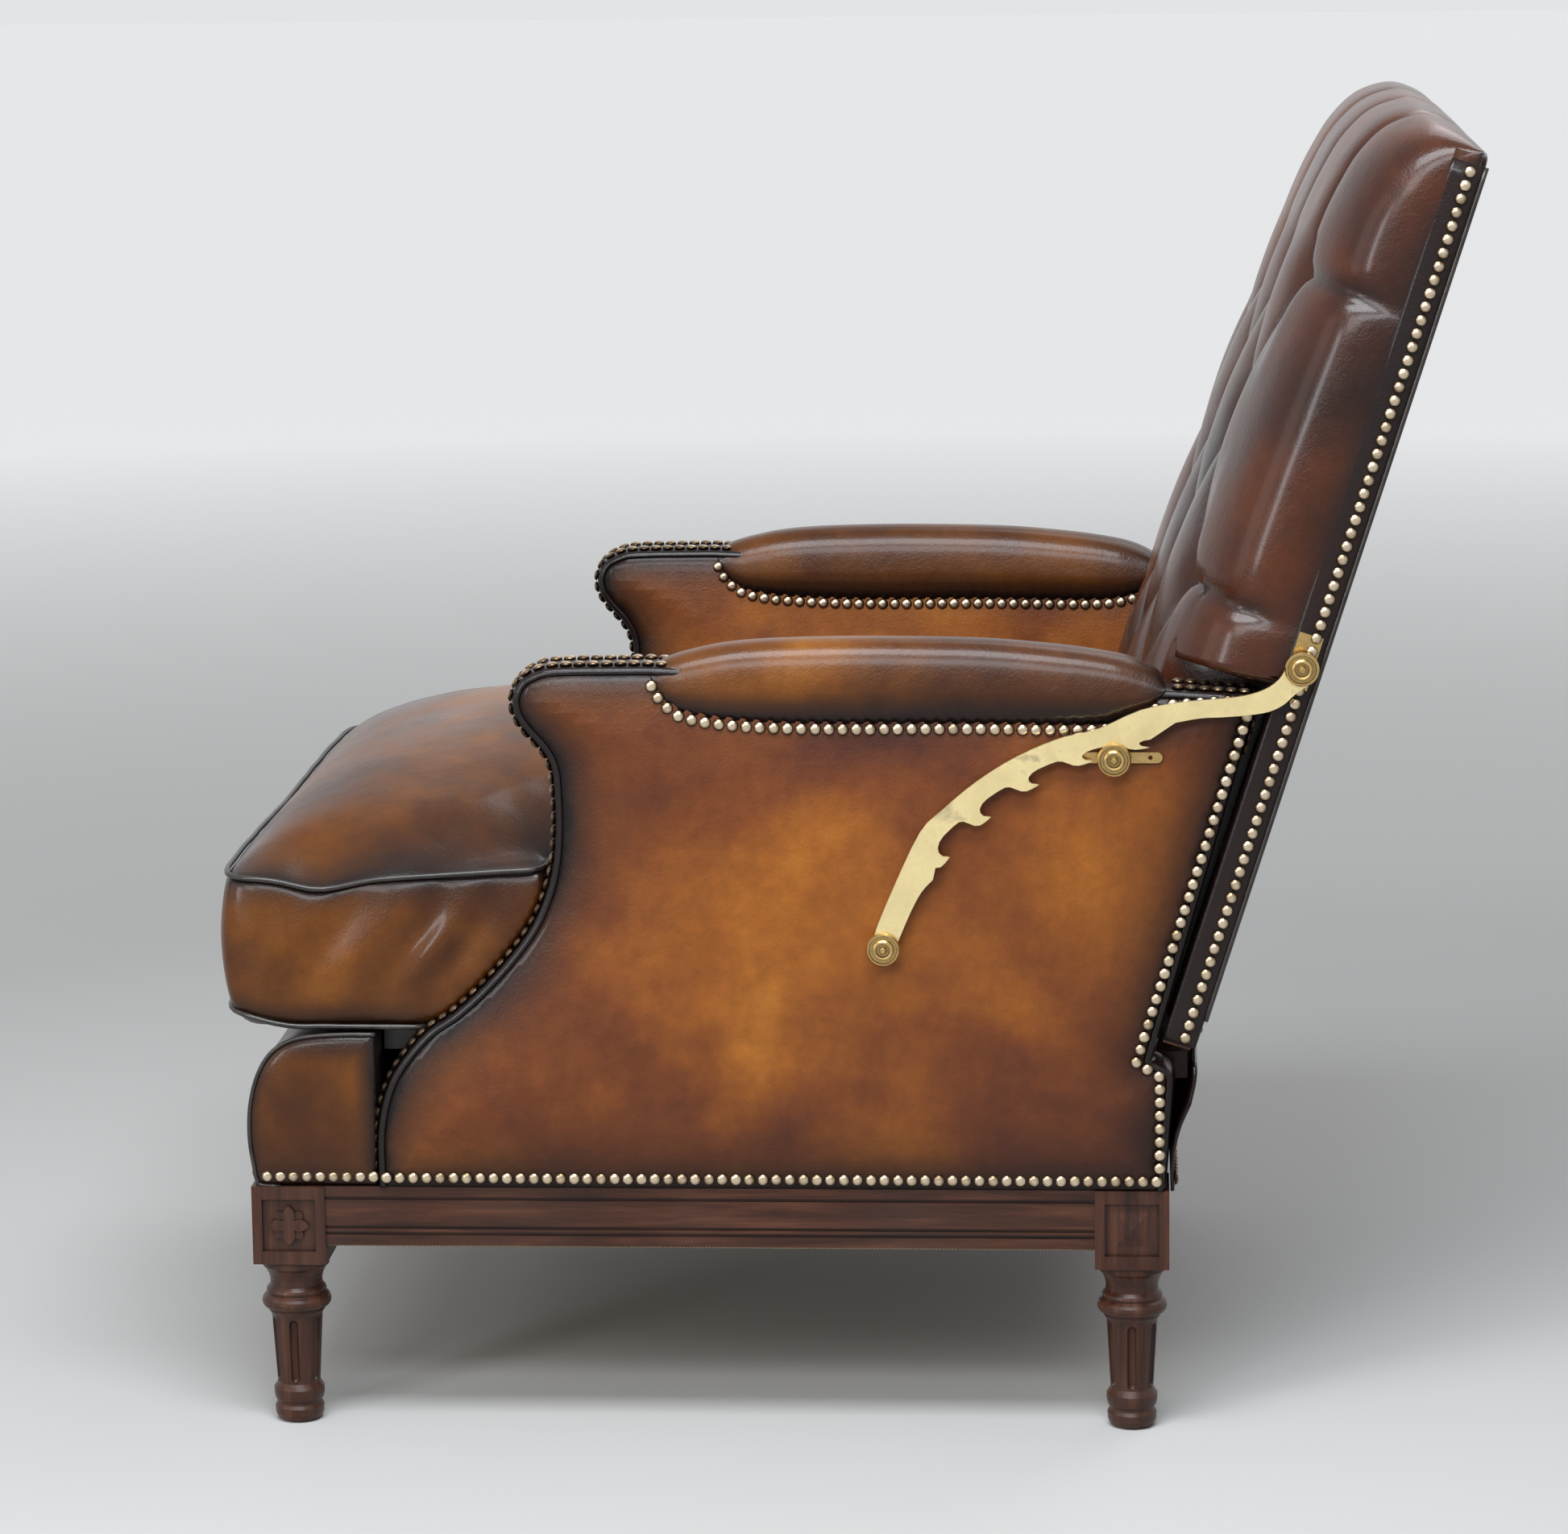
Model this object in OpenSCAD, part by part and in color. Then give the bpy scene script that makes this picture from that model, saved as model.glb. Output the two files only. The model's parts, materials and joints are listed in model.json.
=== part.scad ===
// Reclining club armchair: leather upholstery on a mahogany frame, turned and fluted legs,
// and a back that is hinged at its foot and held by a toothed brass strap on each side.
// X runs to the sitter's left, Y to the rear, Z up. The origin is on the floor in mid-depth.

/* [Frame] */
// Set-back of the leg blocks inside the outer faces of the arms
frame_inset = 2; // [0:0.5:8]
// Distance of the front leg axes in front of the origin
front_leg_y = 412; // [380:2:440]
// Distance of the rear leg axes behind the origin
rear_leg_y = 216; // [206:1:226]
// Height of the top edge of the rails
rail_top = 187; // [170:1:210]
// Height of a rail
rail_h = 45; // [36:1:54]
// Thickness of a rail
rail_t = 24; // [18:1:28]
// Set-back of the rails behind the faces of the leg blocks
rail_setback = 2; // [1:0.5:4]

/* [Legs] */
// Side of the square block at the head of a leg
block_w = 55; // [46:1:60]
// Height of that block
block_h = 60; // [48:1:70]
// Largest radius of the turning
turning_r = 26; // [20:0.5:27]
// Number of flutes round the shaft
flute_count = 6; // [4:1:10]
// Radius of a flute
flute_r = 3.4; // [2.4:0.1:4]
// Depth of the carved panel in a block
panel_d = 3; // [2:0.5:5]

/* [Arms] */
// Width over the outer faces of the arms
body_w = 664; // [620:2:720]
// Thickness of an arm
arm_t = 44; // [38:1:52]
// Depth of an arm from front to rear
arm_depth = 649; // [600:1:660]
// Distance of the arm's front foot in front of the origin
arm_front_y = 343; // [336:1:348]
// Height of an arm above the rails
arm_h = 392; // [360:2:420]
// Thickness of the padded leather on each face of an arm
cover_t = 7; // [4:0.5:9]
// Thickness of the leather band round the edge of an arm
facing_t = 4; // [2:0.5:6]
// Height of the crown of the pad above the arm
pad_rise = 22; // [14:1:30]
// Depth of the pad's sides below the top of the arm
pad_skirt = 36; // [26:1:44]
// Distance that the pad stands out from the arm's faces
pad_proud = 6; // [4:0.5:7]

/* [Seat] */
// Height of the top of the sprung deck above the floor
deck_top = 303; // [290:1:310]
// Thickness of the deck
deck_t = 20; // [12:1:26]
// Height of the seat cushion's edge
cushion_edge = 112; // [90:1:130]
// Height of the cushion's crown above its top piping
cushion_crown = 86; // [40:1:100]
// Depth of the seat cushion from front to rear
cushion_depth = 630; // [600:1:634]
// Distance of the seat cushion's front in front of the origin
cushion_front_y = 460; // [455:1:465]
// Length of the foot of the cushion's ears in front of the arms
ear_len = 144; // [130:1:146]
// Set-back of the ears inside the outer faces of the arms
ear_inset = 6; // [4:1:16]
// Radius of the piping
piping_r = 3.5; // [2.5:0.25:5]
// Height of the padded roll over the front rail
roll_h = 115; // [90:1:115]
// Springs in a row, and rows of springs
spring_rows = 3; // [2:1:4]
// Largest radius of a spring
spring_r = 42; // [30:1:50]
// Turns of a spring
spring_turns = 3.5; // [2.5:0.5:4]

/* [Back] */
// Distance of the recline hinge behind the origin
hinge_y = 264; // [262:0.5:267]
// Height of the recline hinge
hinge_z = 288; // [286:0.5:292]
// Distance of the hinge line behind the outside back
hinge_proud = 3; // [2:0.25:3.5]
// Lean of the back when it is upright, in degrees
back_tilt = 17.6; // [17:0.1:20]
// Set-back of the back's sides inside the outer faces of the arms
back_inset = 2; // [1:0.5:4]
// Length of the back frame above its hinge
back_len = 686; // [640:2:720]
// Thickness of the wooden back frame
back_frame_t = 21; // [16:1:22]
// Width of the back frame's stiles and rails
stile_w = 34; // [26:1:44]
// Thickness of the leather that covers the outside back
outside_t = 4; // [2:0.5:5]
// Thickness of the tufted cushion at its fullest
back_cushion_t = 100; // [80:1:104]
// Height of the roll over the top of the back
top_roll = 17; // [10:1:24]
// Distance between neighbouring buttons across the back
button_dx = 150; // [130:2:160]
// Distance between rows of buttons
button_dw = 120; // [100:4:124]
// Height of the top row of buttons above the hinge, along the back
button_top = 566; // [540:2:580]
// Depth of a button's dimple
dimple_d = 26; // [14:1:34]
// Depth of the folds between the buttons
fold_d = 13; // [6:1:18]

/* [Brass straps] */
// Height of a strap's pivot above the recline hinge
pivot_rise = 291; // [285:1:298]
// Distance of the pivot behind the recline hinge
pivot_back = 74; // [72:1:76]
// Distance of the stud in front of the recline hinge
stud_front = 61; // [57:1:65]
// Height of the stud above the recline hinge
stud_rise = 224.6; // [220:0.2:228]
// Thickness of a strap
strap_t = 3; // [2:0.5:4]
// Angle from one tooth to the next, seen from the recline hinge
tooth_pitch = 10.3; // [9.5:0.1:10.8]
// Depth of a tooth at the stud
tooth_d = 7.6; // [6:0.2:8.4]
// Width of a strap above its teeth
band_w = 14; // [11:0.5:17]
// Radius of the stud's shank
shank_r = 3; // [2:0.25:4]
// Radius of the turned knobs
knob_r = 12.4; // [9:0.2:14]
// Height of the turned knobs
knob_h = 8.5; // [5:0.5:12]
// Radius of the pivot pin
pivot_r = 4; // [3:0.25:5]

/* [Hidden] */
$fn = 48;
LEFT = 1;
RIGHT = -1;

// Gap between soft pieces and what they lie on
soft_gap = 0.4;
// Running clearance of turning and sliding metal
run_gap = 0.4;
// Radial clearance of a shaft in its bore
pin_gap = 0.1;
// Overrun of every cut
over = 1;

leather = "#6b2f12";
dark_leather = "#4a1d10";
wood = "#3d2018";
pale_wood = "#a98457";
brass = "#c9a64f";
steel = "#8a8a8a";
hessian = "#9c8156";
piping_black = "#1c1512";

// Frame values
frame_w = body_w - 2 * frame_inset;
rail_bottom = rail_top - rail_h;
rail_x = frame_w / 2 - rail_setback;
front_face_y = -front_leg_y - block_w / 2;
rear_face_y = rear_leg_y + block_w / 2;
leg_x = frame_w / 2 - block_w / 2;
leg_h = rail_top - block_h;
bead_w = 2.4;
bead_d = 1.8;
// Turning of a leg: radius as a share of its largest radius, height as a share of its length
turning_shares = [[0, 0], [0.5, 0], [0.635, 0.015], [0.70, 0.045], [0.71, 0.085], [0.655, 0.105],
    [0.655, 0.12], [0.70, 0.135], [0.73, 0.165], [0.73, 0.2], [0.66, 0.22], [0.615, 0.235],
    [0.73, 0.645], [0.755, 0.66], [0.81, 0.675], [0.81, 0.69], [0.94, 0.703], [0.985, 0.718],
    [1, 0.735], [0.985, 0.752], [0.94, 0.768], [0.846, 0.782], [0.87, 0.8], [0.846, 0.815],
    [0.755, 0.835], [0.755, 0.872], [0.80, 0.905], [0.88, 0.935], [0.97, 0.955], [0.97, 1], [0, 1]];
flute_from_share = 0.27;
flute_to_share = 0.61;
flute_low_share = 0.625;
flute_high_share = 0.72;
// Carved panel of a block: side, petals and bud
panel_w = 40;
petal_len = 15;
petal_w = 9;
leaf_len = 11;
leaf_w = 8;
bud_r = 3;
pyramid_w = 26;

// Arm values
arm_in_x = body_w / 2 - arm_t;
// Front and scroll of an arm: shares of its depth and height, from its front foot upward
scroll_shares = [[0, 0], [0, 0.11], [0.012, 0.195], [0.032, 0.252], [0.06, 0.304], [0.09, 0.338],
    [0.126, 0.392], [0.163, 0.461], [0.188, 0.524], [0.205, 0.602], [0.211, 0.68], [0.211, 0.755],
    [0.208, 0.81], [0.197, 0.845], [0.181, 0.875], [0.168, 0.907], [0.165, 0.94], [0.173, 0.972],
    [0.19, 0.989], [0.216, 0.998], [0.316, 1]];
// Straight top and rear of an arm, down to its rear foot
rear_shares = [[0.9, 0.955], [0.995, 0.945], [1, 0.935], [0.883, 0.252], [0.909, 0.23], [0.898, 0]];
window_shares = [[0.32, 0.12], [0.8, 0.12], [0.9, 0.82], [0.36, 0.86]];
scroll_step_count = 3;
// Pad of an arm: ends as shares of the arm's depth
pad_from_share = 0.334;
pad_to_share = 0.898;
// Station, rise and skirt along the pad, as shares
pad_shares = [[0, 0.1, 0.1], [0.015, 0.34, 0.3], [0.05, 0.62, 0.52], [0.1, 0.8, 0.72], [0.17, 0.93, 0.88],
    [0.3, 1, 0.98], [0.45, 1.03, 1], [0.6, 1.05, 1], [0.72, 1.02, 0.98], [0.82, 0.95, 0.94],
    [0.91, 0.84, 0.88], [0.965, 0.72, 0.8], [0.99, 0.5, 0.66], [1, 0.25, 0.5]];
// Half section of a pad from the foot of its outer side to its crown: reach, height
pad_section_shares = [[0.3, 0], [0.75, 0.06], [1, 0.28], [1, 0.52], [0.93, 0.72], [0.76, 0.88], [0.5, 0.96],
    [0.2, 1]];

// Seat values
ear_w = body_w - 2 * ear_inset;
deck_front_y = -arm_front_y + soft_gap;
hinge_rail_w = 30;
hinge_rail_h = 20;
hinge_rail_y = hinge_y - hinge_proud - outside_t - hinge_rail_w;
web_t = 2;
web_w = 50;
web_count = 5;
dust_t = 1;
corner_reach = 64;
corner_t = 25;
screw_head_r = 4.5;
wire_r = 1.8;
spring_ring_count = 8;
cushion_bottom = deck_top + soft_gap;
// Space between an arm and the loose cushion
arm_space = 4;
cushion_half = arm_in_x - arm_space;
// Space between an arm's front edge and the ear that overhangs it, and an ear's least heights there
ear_gap = 5;
ear_foot_h = 15;
ear_end_h = 12;
ear_ring_count = 6;
ear_lip = 4;
// Section of the seat cushion: side from the bottom piping to the top one, as reach and height
side_shares = [[0, 0], [0.7, 0.12], [1, 0.34], [1, 0.62], [0.7, 0.86], [0, 1]];
side_bulge = 5;
bottom_round = 14;
// Drawing-in of the end sections: station along the cushion, share of the tuck
end_tuck = 8;
front_shares = [[0, 0.75], [0.006, 0.25], [0.02, 0], [0.05, 0], [0.09, 0], [0.14, 0], [0.19, 0]];
rear_end_shares = [[0.43, 0], [0.5, 0], [0.57, 0], [0.64, 0], [0.71, 0], [0.78, 0],
    [0.84, 0], [0.89, 0], [0.93, 0], [0.965, 0], [0.99, 0.25], [1, 1]];
// Stand-off of the piping from the seam it is sewn to
piping_off = 1.6;
piping_gap = 1.3;
piping_corner = 6;
piping_side_count = 10;
// Crown of the cushion: power of its section, then station from front to rear and height
crown_power = 2.6;
crown_shares = [[0, 0], [0.012, 0.1], [0.035, 0.28], [0.08, 0.5], [0.14, 0.72], [0.2, 0.86], [0.27, 0.95],
    [0.36, 1], [0.5, 1], [0.64, 0.96], [0.78, 0.86], [0.88, 0.7], [0.95, 0.48], [0.985, 0.25], [1, 0.1]];
// Space between the roll and the front of the arms
roll_gap = 1.2;
// Roll over the front rail: profile from its rear foot round the front, as depth and height
roll_d = 95;
roll_shares = [[0, 0], [0.93, 0], [0.97, 0.1], [1, 0.34], [1, 0.54], [0.95, 0.72], [0.86, 0.86],
    [0.72, 0.95], [0.5, 0.985], [0.25, 0.995], [0, 1]];

// Hinge values
knuckle_r = 5;
pin_r = 2.6;
leaf_t = 2.5;
leaf_w_x = 70;
leaf_h = 26;
// Distance of a hinge's middle from the arm's inner face
hinge_in = 88;
hinge_x = arm_in_x - hinge_in;
leaf_y = hinge_y - hinge_proud - outside_t;
pin_end = 1;

// Back values: u runs rearward from the hinge line and w up along the back
back_w = body_w - 2 * back_inset;
frame_u = -hinge_proud - outside_t - back_frame_t;
frame_foot_w = 4;
cushion_u = frame_u - soft_gap;
lower_half = arm_in_x - pad_proud - 2 * soft_gap;
wing_set_in = 12;
wing_half = back_w / 2 - wing_set_in;
wing_round = 20;
wing_foot_w = 288;
wing_slope = 0.2;
cushion_foot_w = 14;
row_step = 24;
rows_down_count = 22;
rows_up_count = 3;
// Thickness of the cushion up the back, shares of the back's length and of the full thickness
belly_shares = [[0, 0.62], [0.04, 0.7], [0.12, 0.84], [0.22, 0.96], [0.33, 1], [0.47, 0.95], [0.62, 0.91],
    [0.76, 0.85], [0.88, 0.78], [0.95, 0.74]];
// Roll over the top: reach forward as a share of the thickness there, rise as a share of the roll
roll_top_shares = [[1, -0.5], [0.9, 0.35], [0.62, 0.92], [0.3, 1], [-0.05, 0.72], [-0.27, 0.2]];
tuft_power = 0.45;
dimple_r = 24;
button_r = 8;
button_h = 6;

// Strap values, all in the plane of the arm's outer face
strap_stand_off = 8;
strap_x = body_w / 2 + strap_stand_off;
pivot_y = hinge_y + pivot_back;
pivot_z = hinge_z + pivot_rise;
stud_y = hinge_y - stud_front;
stud_z = hinge_z + stud_rise;
stud_arc_r = sqrt(stud_front * stud_front + stud_rise * stud_rise);
stud_angle = 90 + atan(stud_front / stud_rise);
stud_to_pivot = sqrt(pow(pivot_back + stud_front, 2) + pow(pivot_rise - stud_rise, 2));
// A strap's length: the stud lies at this share of it
stud_at_share = 0.4145;
strap_len = stud_to_pivot / stud_at_share;
// Where the stud lies along a tooth's pitch when the back is upright, and when a hook holds it
rest_share = 0.64;
hold_share = 0.97;
// The strap rests lifted clear of the stud and drops by this angle to engage it
drop_angle = atan(tooth_d / stud_to_pivot);
tip_r = stud_arc_r + shank_r + run_gap;
// One tooth: shares of the pitch and of the depth, from its tip to the next tip
tooth_shares = [[0, 0.02], [0.06, 0], [0.14, 0], [0.24, 0.05], [0.33, 0.24], [0.41, 0.58],
    [0.48, 0.86], [0.56, 1], [0.7, 1.03], [0.92, 1.03], [1.04, 0.96], [1.12, 0.8], [1.14, 0.58],
    [1.11, 0.34], [1.03, 0.12]];
last_tooth_point_count = 4;
first_tooth_point_count = 9;
tooth_count = 5;
// Outline of the strap from its pivot: shares of its length
upper_shares = [[-0.03, 0.004], [-0.046, -0.022], [-0.075, -0.042], [-0.115, -0.054], [-0.166, -0.06],
    [-0.24, -0.067], [-0.32, -0.083]];
crest_shares = [0.1, 0.75, 1.5, 2.25, 3, 3.5];
crest_band_shares = [1, 1.08, 1.1, 1.08, 1.05, 1.05];
// Tail of the strap: pitches beyond the last tooth and radius as a share of the stud's arc
end_upper_shares = [[-0.08, 1.104], [0.69, 1.093], [0.93, 1.085]];
tail_shares = [[0.95, 1.015], [0.65, 1.015], [0.14, 1.019], [-0.23, 1.021], [-0.51, 1.013]];
end_knob_shares = [0.95, 1.05];
neck_shares = [[-0.25, -0.108], [-0.2, -0.099], [-0.157, -0.097], [-0.106, -0.093], [-0.065, -0.086],
    [-0.036, -0.072], [-0.012, -0.05], [0.012, -0.034]];
end_pad_r = 9;
knob_shares = [[0, 0], [0.92, 0], [1, 0.14], [1, 0.34], [0.92, 0.5], [0.84, 0.5], [0.8, 0.36],
    [0.64, 0.36], [0.6, 0.62], [0.52, 0.72], [0.42, 0.68], [0.38, 0.5], [0.24, 0.5], [0.2, 0.86],
    [0.12, 1], [0, 1]];
plate_t = 2.5;
plate_r = 8;
plate_len = 31;
plate_screw_r = 1.6;
pivot_plate_w = 18;
pivot_plate_up = 24;
pivot_plate_down = 16;
boss_r = 8;

// Points of a smooth curve through the given points
function blend4(a, b, c, d, t) =
    0.5 * (2 * b + (c - a) * t + (2 * a - 5 * b + 4 * c - d) * t * t + (3 * b - a - 3 * c + d) * t * t * t);
function curve(p, steps) = [
    for (i = [0:len(p) - 2]) for (k = [0:steps - 1])
        blend4(p[max(i - 1, 0)], p[i], p[i + 1], p[min(i + 2, len(p) - 1)], k / steps),
    p[len(p) - 1]];
function scaled(shares, a, b) = [for (s = shares) [s[0] * a, s[1] * b]];
function moved(p, y, z) = [for (q = p) [q[0] + y, q[1] + z]];
function reversed(p) = [for (i = [len(p) - 1:-1:0]) p[i]];
function turned(p, angle) = [p[0] * cos(angle) - p[1] * sin(angle), p[0] * sin(angle) + p[1] * cos(angle)];
function right_normal(a, b) = let(d = b - a) [d[1], -d[0]] / norm(d);
// The same open path moved to its right side by a distance
function inset(p, d) = [for (i = [0:len(p) - 1])
    let(before = i > 0 ? right_normal(p[i - 1], p[i]) : right_normal(p[0], p[1]),
        after = i < len(p) - 1 ? right_normal(p[i], p[i + 1]) : before)
    p[i] + (before + after) * (d / (1 + before * after))];
function flat(l) = [for (a = l) for (b = a) b];
function mean(l) = [for (k = [0:2]) [for (a = l) a[k]] * [for (a = l) 1] / len(l)];

// A closed body through equal rings of points
module skin(rings) {
    n = len(rings[0]);
    m = len(rings);
    points = concat(flat(rings), [mean(rings[0]), mean(rings[m - 1])]);
    sides = [for (i = [0:m - 2]) for (j = [0:n - 1])
        let(a = i * n + j, b = i * n + (j + 1) % n)
        each [[a, b, a + n], [b, b + n, a + n]]];
    first = [for (j = [0:n - 1]) [(j + 1) % n, j, n * m]];
    last = [for (j = [0:n - 1]) [(m - 1) * n + j, (m - 1) * n + (j + 1) % n, n * m + 1]];
    polyhedron(points, concat(sides, first, last), convexity = 6);
}

// A flat shape drawn in Y and Z, from x0 for t along X
module slab(x0, t) {
    translate([x0, 0, 0]) rotate([90, 0, 90]) linear_extrude(t) children();
}

// The right side is the mirror image of the left one
module on_side(side) {
    mirror([side == LEFT ? 0 : 1, 0, 0]) children();
}

// The back's own frame: rear face upward from the hinge
module on_back() {
    translate([0, hinge_y, hinge_z]) rotate([-back_tilt, 0, 0]) children();
}

module pointed_leaf(len, w, t) {
    r = (len * len + w * w) / (4 * w);
    linear_extrude(t)
        translate([len / 2, 0]) intersection() {
            translate([0, r - w / 2]) circle(r);
            translate([0, w / 2 - r]) circle(r);
        }
}

// Four petals, four smaller leaves and a bud
module rosette(t) {
    for (k = [0:3]) rotate(90 * k) pointed_leaf(petal_len, petal_w, t);
    for (k = [0:3]) rotate(45 + 90 * k) translate([bud_r, 0]) pointed_leaf(leaf_len, leaf_w, t * 0.6);
    intersection() {
        sphere(bud_r);
        translate([-bud_r, -bud_r, 0]) cube([2 * bud_r, 2 * bud_r, 2 * bud_r]);
    }
}

module pyramid(w, h) {
    polyhedron([[-w, -w, 0], [w, -w, 0], [w, w, 0], [-w, w, 0], [0, 0, h]],
        [[0, 1, 2, 3], [1, 0, 4], [2, 1, 4], [3, 2, 4], [0, 3, 4]]);
}

// The block of a leg with a carved panel on its outer side and on its front or rear
module leg_block(front) {
    difference() {
        translate([-block_w / 2, -block_w / 2, leg_h]) cube([block_w, block_w, block_h]);
        translate([block_w / 2 - panel_d, -panel_w / 2, leg_h + (block_h - panel_w) / 2])
            cube([panel_d + over, panel_w, panel_w]);
        translate([-panel_w / 2, (front ? -block_w / 2 - over : block_w / 2 - panel_d),
                leg_h + (block_h - panel_w) / 2])
            cube([panel_w, panel_d + over, panel_w]);
    }
    for (a = [0, front ? -90 : 90]) rotate(a)
        translate([block_w / 2 - panel_d, 0, leg_h + block_h / 2]) rotate([0, 90, 0])
            if (front) rosette(panel_d); else pyramid(pyramid_w / 2, panel_d);
}

module flute(angle) {
    z0 = flute_from_share * leg_h;
    z1 = flute_to_share * leg_h;
    r0 = flute_low_share * turning_r;
    r1 = flute_high_share * turning_r;
    lean = atan((r1 - r0) / (z1 - z0));
    rotate(angle) translate([r0, 0, z0]) rotate([0, lean, 0]) {
        cylinder(norm([r1 - r0, z1 - z0]), r = flute_r);
        sphere(flute_r);
        translate([0, 0, norm([r1 - r0, z1 - z0])]) sphere(flute_r);
    }
}

module leg(side, front) {
    color(wood) on_side(side) translate([leg_x, front ? -front_leg_y : rear_leg_y, 0]) {
        leg_block(front);
        difference() {
            rotate_extrude() polygon(scaled(turning_shares, turning_r, leg_h));
            for (k = [0:flute_count - 1]) flute(k * 360 / flute_count);
        }
    }
}

// Section of a rail with a bead groove near its top and a double one near its foot
module rail_section() {
    difference() {
        translate([0, rail_bottom]) square([rail_t, rail_h]);
        for (z = [rail_top - rail_h * 0.2, rail_bottom + rail_h * 0.2,
                rail_bottom + rail_h * 0.2 + 2 * bead_w])
            translate([rail_t - bead_d, z - bead_w / 2]) square([bead_d + over, bead_w]);
    }
}

module side_rail(side) {
    length = front_leg_y + rear_leg_y - block_w;
    color(wood) on_side(side)
        translate([rail_x - rail_t, rear_leg_y - block_w / 2, 0]) rotate([90, 0, 0])
            linear_extrude(length) rail_section();
}

module cross_rail(y_face, front) {
    length = frame_w - 2 * block_w;
    color(wood) translate([front ? length / 2 : -length / 2, y_face, 0])
        rotate([90, 0, front ? -90 : 90]) translate([-rail_t, 0, 0]) linear_extrude(length) rail_section();
}

// Braces that fit round the inner corner of each leg block
module corner_blocks() {
    ix = rail_x - rail_t;
    bx = frame_w / 2 - block_w;
    for (side = [LEFT, RIGHT]) on_side(side) color(pale_wood) {
        fy = front_face_y + rail_setback + rail_t;
        by = -front_leg_y + block_w / 2;
        translate([0, 0, rail_bottom + web_t]) linear_extrude(corner_t)
            polygon([[ix, by], [ix, by + corner_reach], [bx - corner_reach, fy], [bx, fy], [bx, by]]);
        ry = rear_face_y - rail_setback - rail_t;
        cy = rear_leg_y - block_w / 2;
        translate([0, 0, rail_bottom + web_t]) linear_extrude(corner_t)
            polygon([[ix, cy], [bx, cy], [bx, ry], [bx - corner_reach, ry], [ix, cy - corner_reach]]);
    }
}

// Round-headed screws that stand on the top of each brace
module corner_screws() {
    z = rail_bottom + web_t + corner_t;
    bx = frame_w / 2 - block_w;
    for (side = [LEFT, RIGHT]) on_side(side) color(steel)
        for (y = [-front_leg_y + block_w / 2, rear_leg_y - block_w / 2])
            for (k = [-1, 1])
                translate([bx + screw_head_r * (k - 2), y + sign(-y) * screw_head_r * (2 + k), z])
                    intersection() {
                        sphere(screw_head_r);
                        translate([-screw_head_r, -screw_head_r, 0])
                            cube([2 * screw_head_r, 2 * screw_head_r, screw_head_r / 2]);
                    }
}

// Edge of an arm from its front foot over the scroll and the top to its rear foot
arm_path = moved(concat(curve(scaled(scroll_shares, arm_depth, arm_h), scroll_step_count),
    scaled(rear_shares, arm_depth, arm_h)), -arm_front_y, rail_top);
arm_core = inset(arm_path, facing_t);

module arm_cover(side, x0) {
    color(leather) on_side(side) slab(x0, cover_t) polygon(arm_core);
}

module arm_facing(side) {
    color(dark_leather) on_side(side) slab(arm_in_x, arm_t) polygon(concat(arm_path, reversed(arm_core)));
}

module arm_frame(side) {
    color(pale_wood) on_side(side) slab(arm_in_x + cover_t, arm_t - 2 * cover_t) difference() {
        polygon(arm_core);
        polygon(moved(scaled(window_shares, arm_depth, arm_h), -arm_front_y, rail_top));
    }
}

// Height of the arm's top edge at a depth, along the line under the pad
top_from = arm_path[len(scroll_shares) * scroll_step_count - scroll_step_count];
top_to = arm_path[len(scroll_shares) * scroll_step_count - scroll_step_count + 1];
function arm_top(y) = top_from[1] + (top_to[1] - top_from[1]) * (y - top_from[0]) / (top_to[0] - top_from[0]);

// A ring of the pad: over the arm, with a skirt down both sides
function pad_ring(s) =
    let(y0 = -arm_front_y + pad_from_share * arm_depth,
        y1 = -arm_front_y + pad_to_share * arm_depth,
        y = y0 + (y1 - y0) * s[0],
        z = arm_top(y) + soft_gap,
        rise = pad_rise * s[1],
        skirt = pad_skirt * s[2],
        half = arm_t / 2,
        out = half + pad_proud * (0.4 + 0.6 * s[2]),
        mid = arm_in_x + half,
        right = [for (q = pad_section_shares)
            [mid + (q[1] < 0.5 ? half + soft_gap + (out - half - soft_gap) * q[0] : out * q[0]),
                y, z - skirt + (skirt + rise) * q[1]]],
        left = [for (i = [len(right) - 1:-1:0]) [2 * mid - right[i][0], y, right[i][2]]])
    concat(right, left, [[mid - half - soft_gap, y, z - skirt * 0.98], [mid - half - soft_gap, y, z],
        [mid + half + soft_gap, y, z], [mid + half + soft_gap, y, z - skirt * 0.98]]);

module arm_pad(side) {
    color(leather) on_side(side) skin([for (s = pad_shares) pad_ring(s)]);
}

module hinge_rail() {
    color(pale_wood) translate([-arm_in_x + soft_gap, hinge_rail_y, hinge_z - knuckle_r - hinge_rail_h])
        cube([2 * (arm_in_x - soft_gap), hinge_rail_w, hinge_rail_h]);
}

// Leather over the rear of the seat, from the hinge line down to the rail
module rear_panel() {
    out = leaf_y + leaf_t + soft_gap;
    foot = rear_face_y + soft_gap;
    t = facing_t * 0.75;
    path = curve([[foot, rail_top], [foot, rail_top + rail_h * 0.6],
        [(foot + out) / 2, hinge_z - leaf_h * 1.6], [out, hinge_z - leaf_h],
        [out, hinge_z - knuckle_r - leaf_t]], 5);
    color(dark_leather) slab(-body_w / 2 + facing_t, body_w - 2 * facing_t)
        polygon(concat(path, reversed(inset(path, t))));
}

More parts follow.
